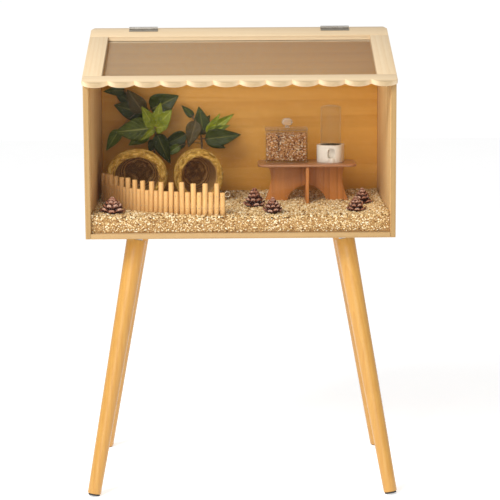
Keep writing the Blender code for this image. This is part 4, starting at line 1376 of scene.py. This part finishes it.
def make_cones():
    """Open pine cones: tiers of spoon-shaped scales, larger below."""
    chance = random.Random(8)
    for index in range(5):
        node = f"pine_cone_{index + 1}"
        low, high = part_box(node)
        radius = (high.x - low.x) / 2
        height = high.z - low.z
        centre = Vector(((low.x + high.x) / 2, (low.y + high.y) / 2, low.z))
        scale = cone_scale()
        places = []
        tiers = (8, 8, 7, 6, 4)
        for tier, count in enumerate(tiers):
            share = tier / (len(tiers) - 1)
            tilt = math.radians(10 + 56 * share)
            reach = radius * (1.0 - 0.72 * share) / math.cos(tilt) * 0.93
            root = centre + Vector((0.0, 0.0, height * (0.04 + 0.50 * share)))
            for step in range(count):
                angle = math.tau * (step + 0.5 * (tier % 2)) / count + index + chance.uniform(-0.08, 0.08)
                broad = 0.80 * math.tau * radius * (1.0 - 0.6 * share) / count
                turn = Matrix.Rotation(angle, 4, "Z") @ Matrix.Rotation(
                    -tilt + chance.uniform(-0.08, 0.08), 4, "Y"
                )
                size = Matrix.Diagonal((reach * chance.uniform(0.93, 1.0), broad, radius * 0.75, 1.0))
                places.append(Matrix.Translation(root) @ turn @ size)
        strewn(
            f"cone_{index + 1}_scales",
            [scale],
            places,
            [chance.uniform(-0.05, 0.08) for _ in places],
            cone_scales,
            "case",
            node,
        )
        core = spun(
            [
                (0.0, height * 0.75),
                (radius * 0.22, height * 0.6),
                (radius * 0.42, height * 0.22),
                (radius * 0.36, 0.001),
                (0.0, 0.001),
            ],
            14,
        )
        bmesh.ops.translate(core, verts=core.verts, vec=centre)
        # With no tint the core takes the darkest stop: painted shade inside the cone.
        piece(f"cone_{index + 1}_core", core, cone_scales, "case", slot=node)


def make_platform():
    eased("platform_top", 0.0022, walnut_top, "case", 4)
    for way in ("long", "cross"):
        eased(f"platform_{way}_support", 0.0006, walnut_ply, "case", 2)


def make_feeder():
    eased("feeder_box", 0.0003, acrylic, "case", 2)
    eased("feeder_divider", 0.0003, acrylic, "case", 2)
    eased("feeder_lid", 0.0004, acrylic, "feeder_lid", 2)
    low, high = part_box("feeder_knob")
    wide = (high.x - low.x) / 2
    tall = high.z - low.z
    profile = [
        (0.0, tall), (wide * 0.50, tall), (
            wide * 0.86, tall * 0.80
        ), (wide, tall * 0.58), (wide * 0.82, tall * 0.34),
        (wide * 0.34, tall * 0.13), (wide * 0.44, 0.0), (0.0, 0.0),
    ]
    knob = spun(profile, 10)
    bmesh.ops.translate(knob, verts=knob.verts, vec=((low.x + high.x) / 2, (low.y + high.y) / 2, low.z))
    piece("feeder_knob_cut", knob, cut_crystal, "feeder_lid", "feeder_knob", sharp=5.0)

    low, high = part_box("feeder_food")
    chance = random.Random(21)
    core = block(low + Vector((0.0034, 0.0034, 0.0005)), high - Vector((0.0034, 0.0034, 0.0034)))
    piece("seed_mass", core, seed_bulk, "case", "feeder_food")
    places, tints = [], []
    inner = low + Vector((0.0022, 0.0022, 0.0020))
    outer = high - Vector((0.0022, 0.0022, 0.0015))
    size = outer - inner
    for face in range(5):
        area = (size.x * size.z, size.x * size.z, size.y * size.z, size.y * size.z, size.x * size.y)[face]
        for _ in range(int(area / 0.0000030)):
            a, b = chance.random(), chance.random()
            deep = chance.uniform(0.0, 0.0012)
            spot = (
                Vector((inner.x + size.x * a, inner.y + deep, inner.z + size.z * b)),
                Vector((inner.x + size.x * a, outer.y - deep, inner.z + size.z * b)),
                Vector((inner.x + deep, inner.y + size.y * a, inner.z + size.z * b)),
                Vector((outer.x - deep, inner.y + size.y * a, inner.z + size.z * b)),
                Vector((inner.x + size.x * a, inner.y + size.y * b, outer.z - deep)),
            )[face]
            places.append(tumbled(chance, spot, 0.6, 1.1))
            tints.append(min(1.0, max(0.0, chance.gauss(0.56, 0.30))))
    strewn(
        "seed_mix",
        grains(6, 0.0034, 4.0, 1.45),
        places,
        tints,
        seeds,
        "case",
        slot="feeder_food",
        sharp=60.0,
    )


def make_bottle():
    eased("bottle_base", 0.0008, ivory_plastic, "case", 3, 35.0)
    low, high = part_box("bottle_tube")
    radius = (high.x - low.x) / 2
    tall = high.z - low.z
    wall = 0.0015
    dome = radius * 0.3
    profile = [(0.0, tall)]
    for step in range(1, 10):
        angle = math.radians(10 * step)
        profile.append((radius * math.sin(angle) ** 0.9, tall - dome + dome * math.cos(angle)))
    profile += [
        (radius, tall * 0.5),
        (radius, 0.0003),
        (radius - wall / 2, 0.0),
        (radius - wall, 0.0003),
        (radius - wall, tall - dome),
    ]
    for step in range(8, 0, -1):
        angle = math.radians(10 * step)
        profile.append(
            ((radius - wall) * math.sin(angle) ** 0.9, tall - dome - wall + dome * math.cos(angle))
        )
    profile.append((0.0, tall - wall))
    tube = spun(profile, 64)
    bmesh.ops.translate(tube, verts=tube.verts, vec=((low.x + high.x) / 2, (low.y + high.y) / 2, low.z))
    piece("bottle_tube_moulded", tube, tube_clear, "bottle", "bottle_tube")


# The studio ---------------------------------------------------------------------------------------


def make_studio():
    floor = bmesh.new()
    bmesh.ops.create_grid(floor, x_segments=1, y_segments=1, size=7.0)
    made, tree, sockets, spot = finish_of("white floor", 0.9)
    tree.links.new(
        ramp(tree, noisy(tree, spot, 3.0), ((0.3, (0.93, 0.93, 0.93)), (0.7, (0.95, 0.95, 0.95)))),
        sockets["Base Color"],
    )
    sockets["Emission Color"].default_value = (1.0, 1.0, 1.0, 1.0)
    sockets["Emission Strength"].default_value = 0.50
    mesh = bpy.data.meshes.new("floor")
    floor.to_mesh(mesh)
    floor.free()
    mesh.materials.append(made)
    ground = bpy.data.objects.new("floor", mesh)
    bpy.context.scene.collection.objects.link(ground)
    world = bpy.data.worlds.new("studio")
    bpy.context.scene.world = world
    world.use_nodes = True
    sky = world.node_tree
    sky.nodes["Background"].inputs["Color"].default_value = (1.0, 1.0, 1.0, 1.0)
    seen = put(sky, "LightPath").outputs["Is Camera Ray"]
    sky.links.new(spread(sky, seen, 0.0, 1.0, 0.48, 1.02), sky.nodes["Background"].inputs["Strength"])
    for name, place, aim, size, power in (
        ("key light", (-1.9, -2.6, 3.1), (0.0, 0.0, 0.7), 1.6, 125.0),
        ("front light", (-0.8, -4.6, 1.3), (0.0, 0.0, 0.65), 3.0, 55.0),
    ):
        lamp = bpy.data.lights.new(name, "AREA")
        lamp.size = size
        lamp.energy = power
        holder = bpy.data.objects.new(name, lamp)
        holder.location = place
        holder.rotation_euler = (Vector(aim) - Vector(place)).to_track_quat("-Z", "Y").to_euler()
        bpy.context.scene.collection.objects.link(holder)
    data = bpy.data.cameras.new("camera")
    data.sensor_width = 36.0
    data.lens = 130.8
    camera = bpy.data.objects.new("camera", data)
    bpy.context.scene.collection.objects.link(camera)
    camera.matrix_world = (
        Matrix.Translation((-0.005, -3.650, 1.043))
        @ Matrix.Rotation(math.radians(-0.377), 4, "Z")
        @ Matrix.Rotation(math.radians(90.0 - 9.085), 4, "X")
        @ Matrix.Rotation(math.radians(-0.337), 4, "Z")
    )
    bpy.context.scene.camera = camera
    bpy.context.scene.view_settings.view_transform = "Standard"


rubber_black = rubber()
cut_crystal = crystal()
ivory_plastic = ivory()
woven_straw = woven()
bark = make_stem()

make_case()
make_lid()
make_wire_mesh()
make_screws()
make_legs()
keep(bright_steel, *[f"hinge_{side}_{part}" for side in SIDES for part in ("case_leaf", "lid_leaf", "pin")])
make_bedding()
make_fence()
make_nest("left", -0.2105, 0.020, 0.0630, 0.74, 0.0, 31)
make_nest("right", -0.0950, 0.015, 0.0500, 0.74, math.radians(8.0), 47)
make_vines()
make_cones()
make_platform()
make_feeder()
make_bottle()
make_studio()
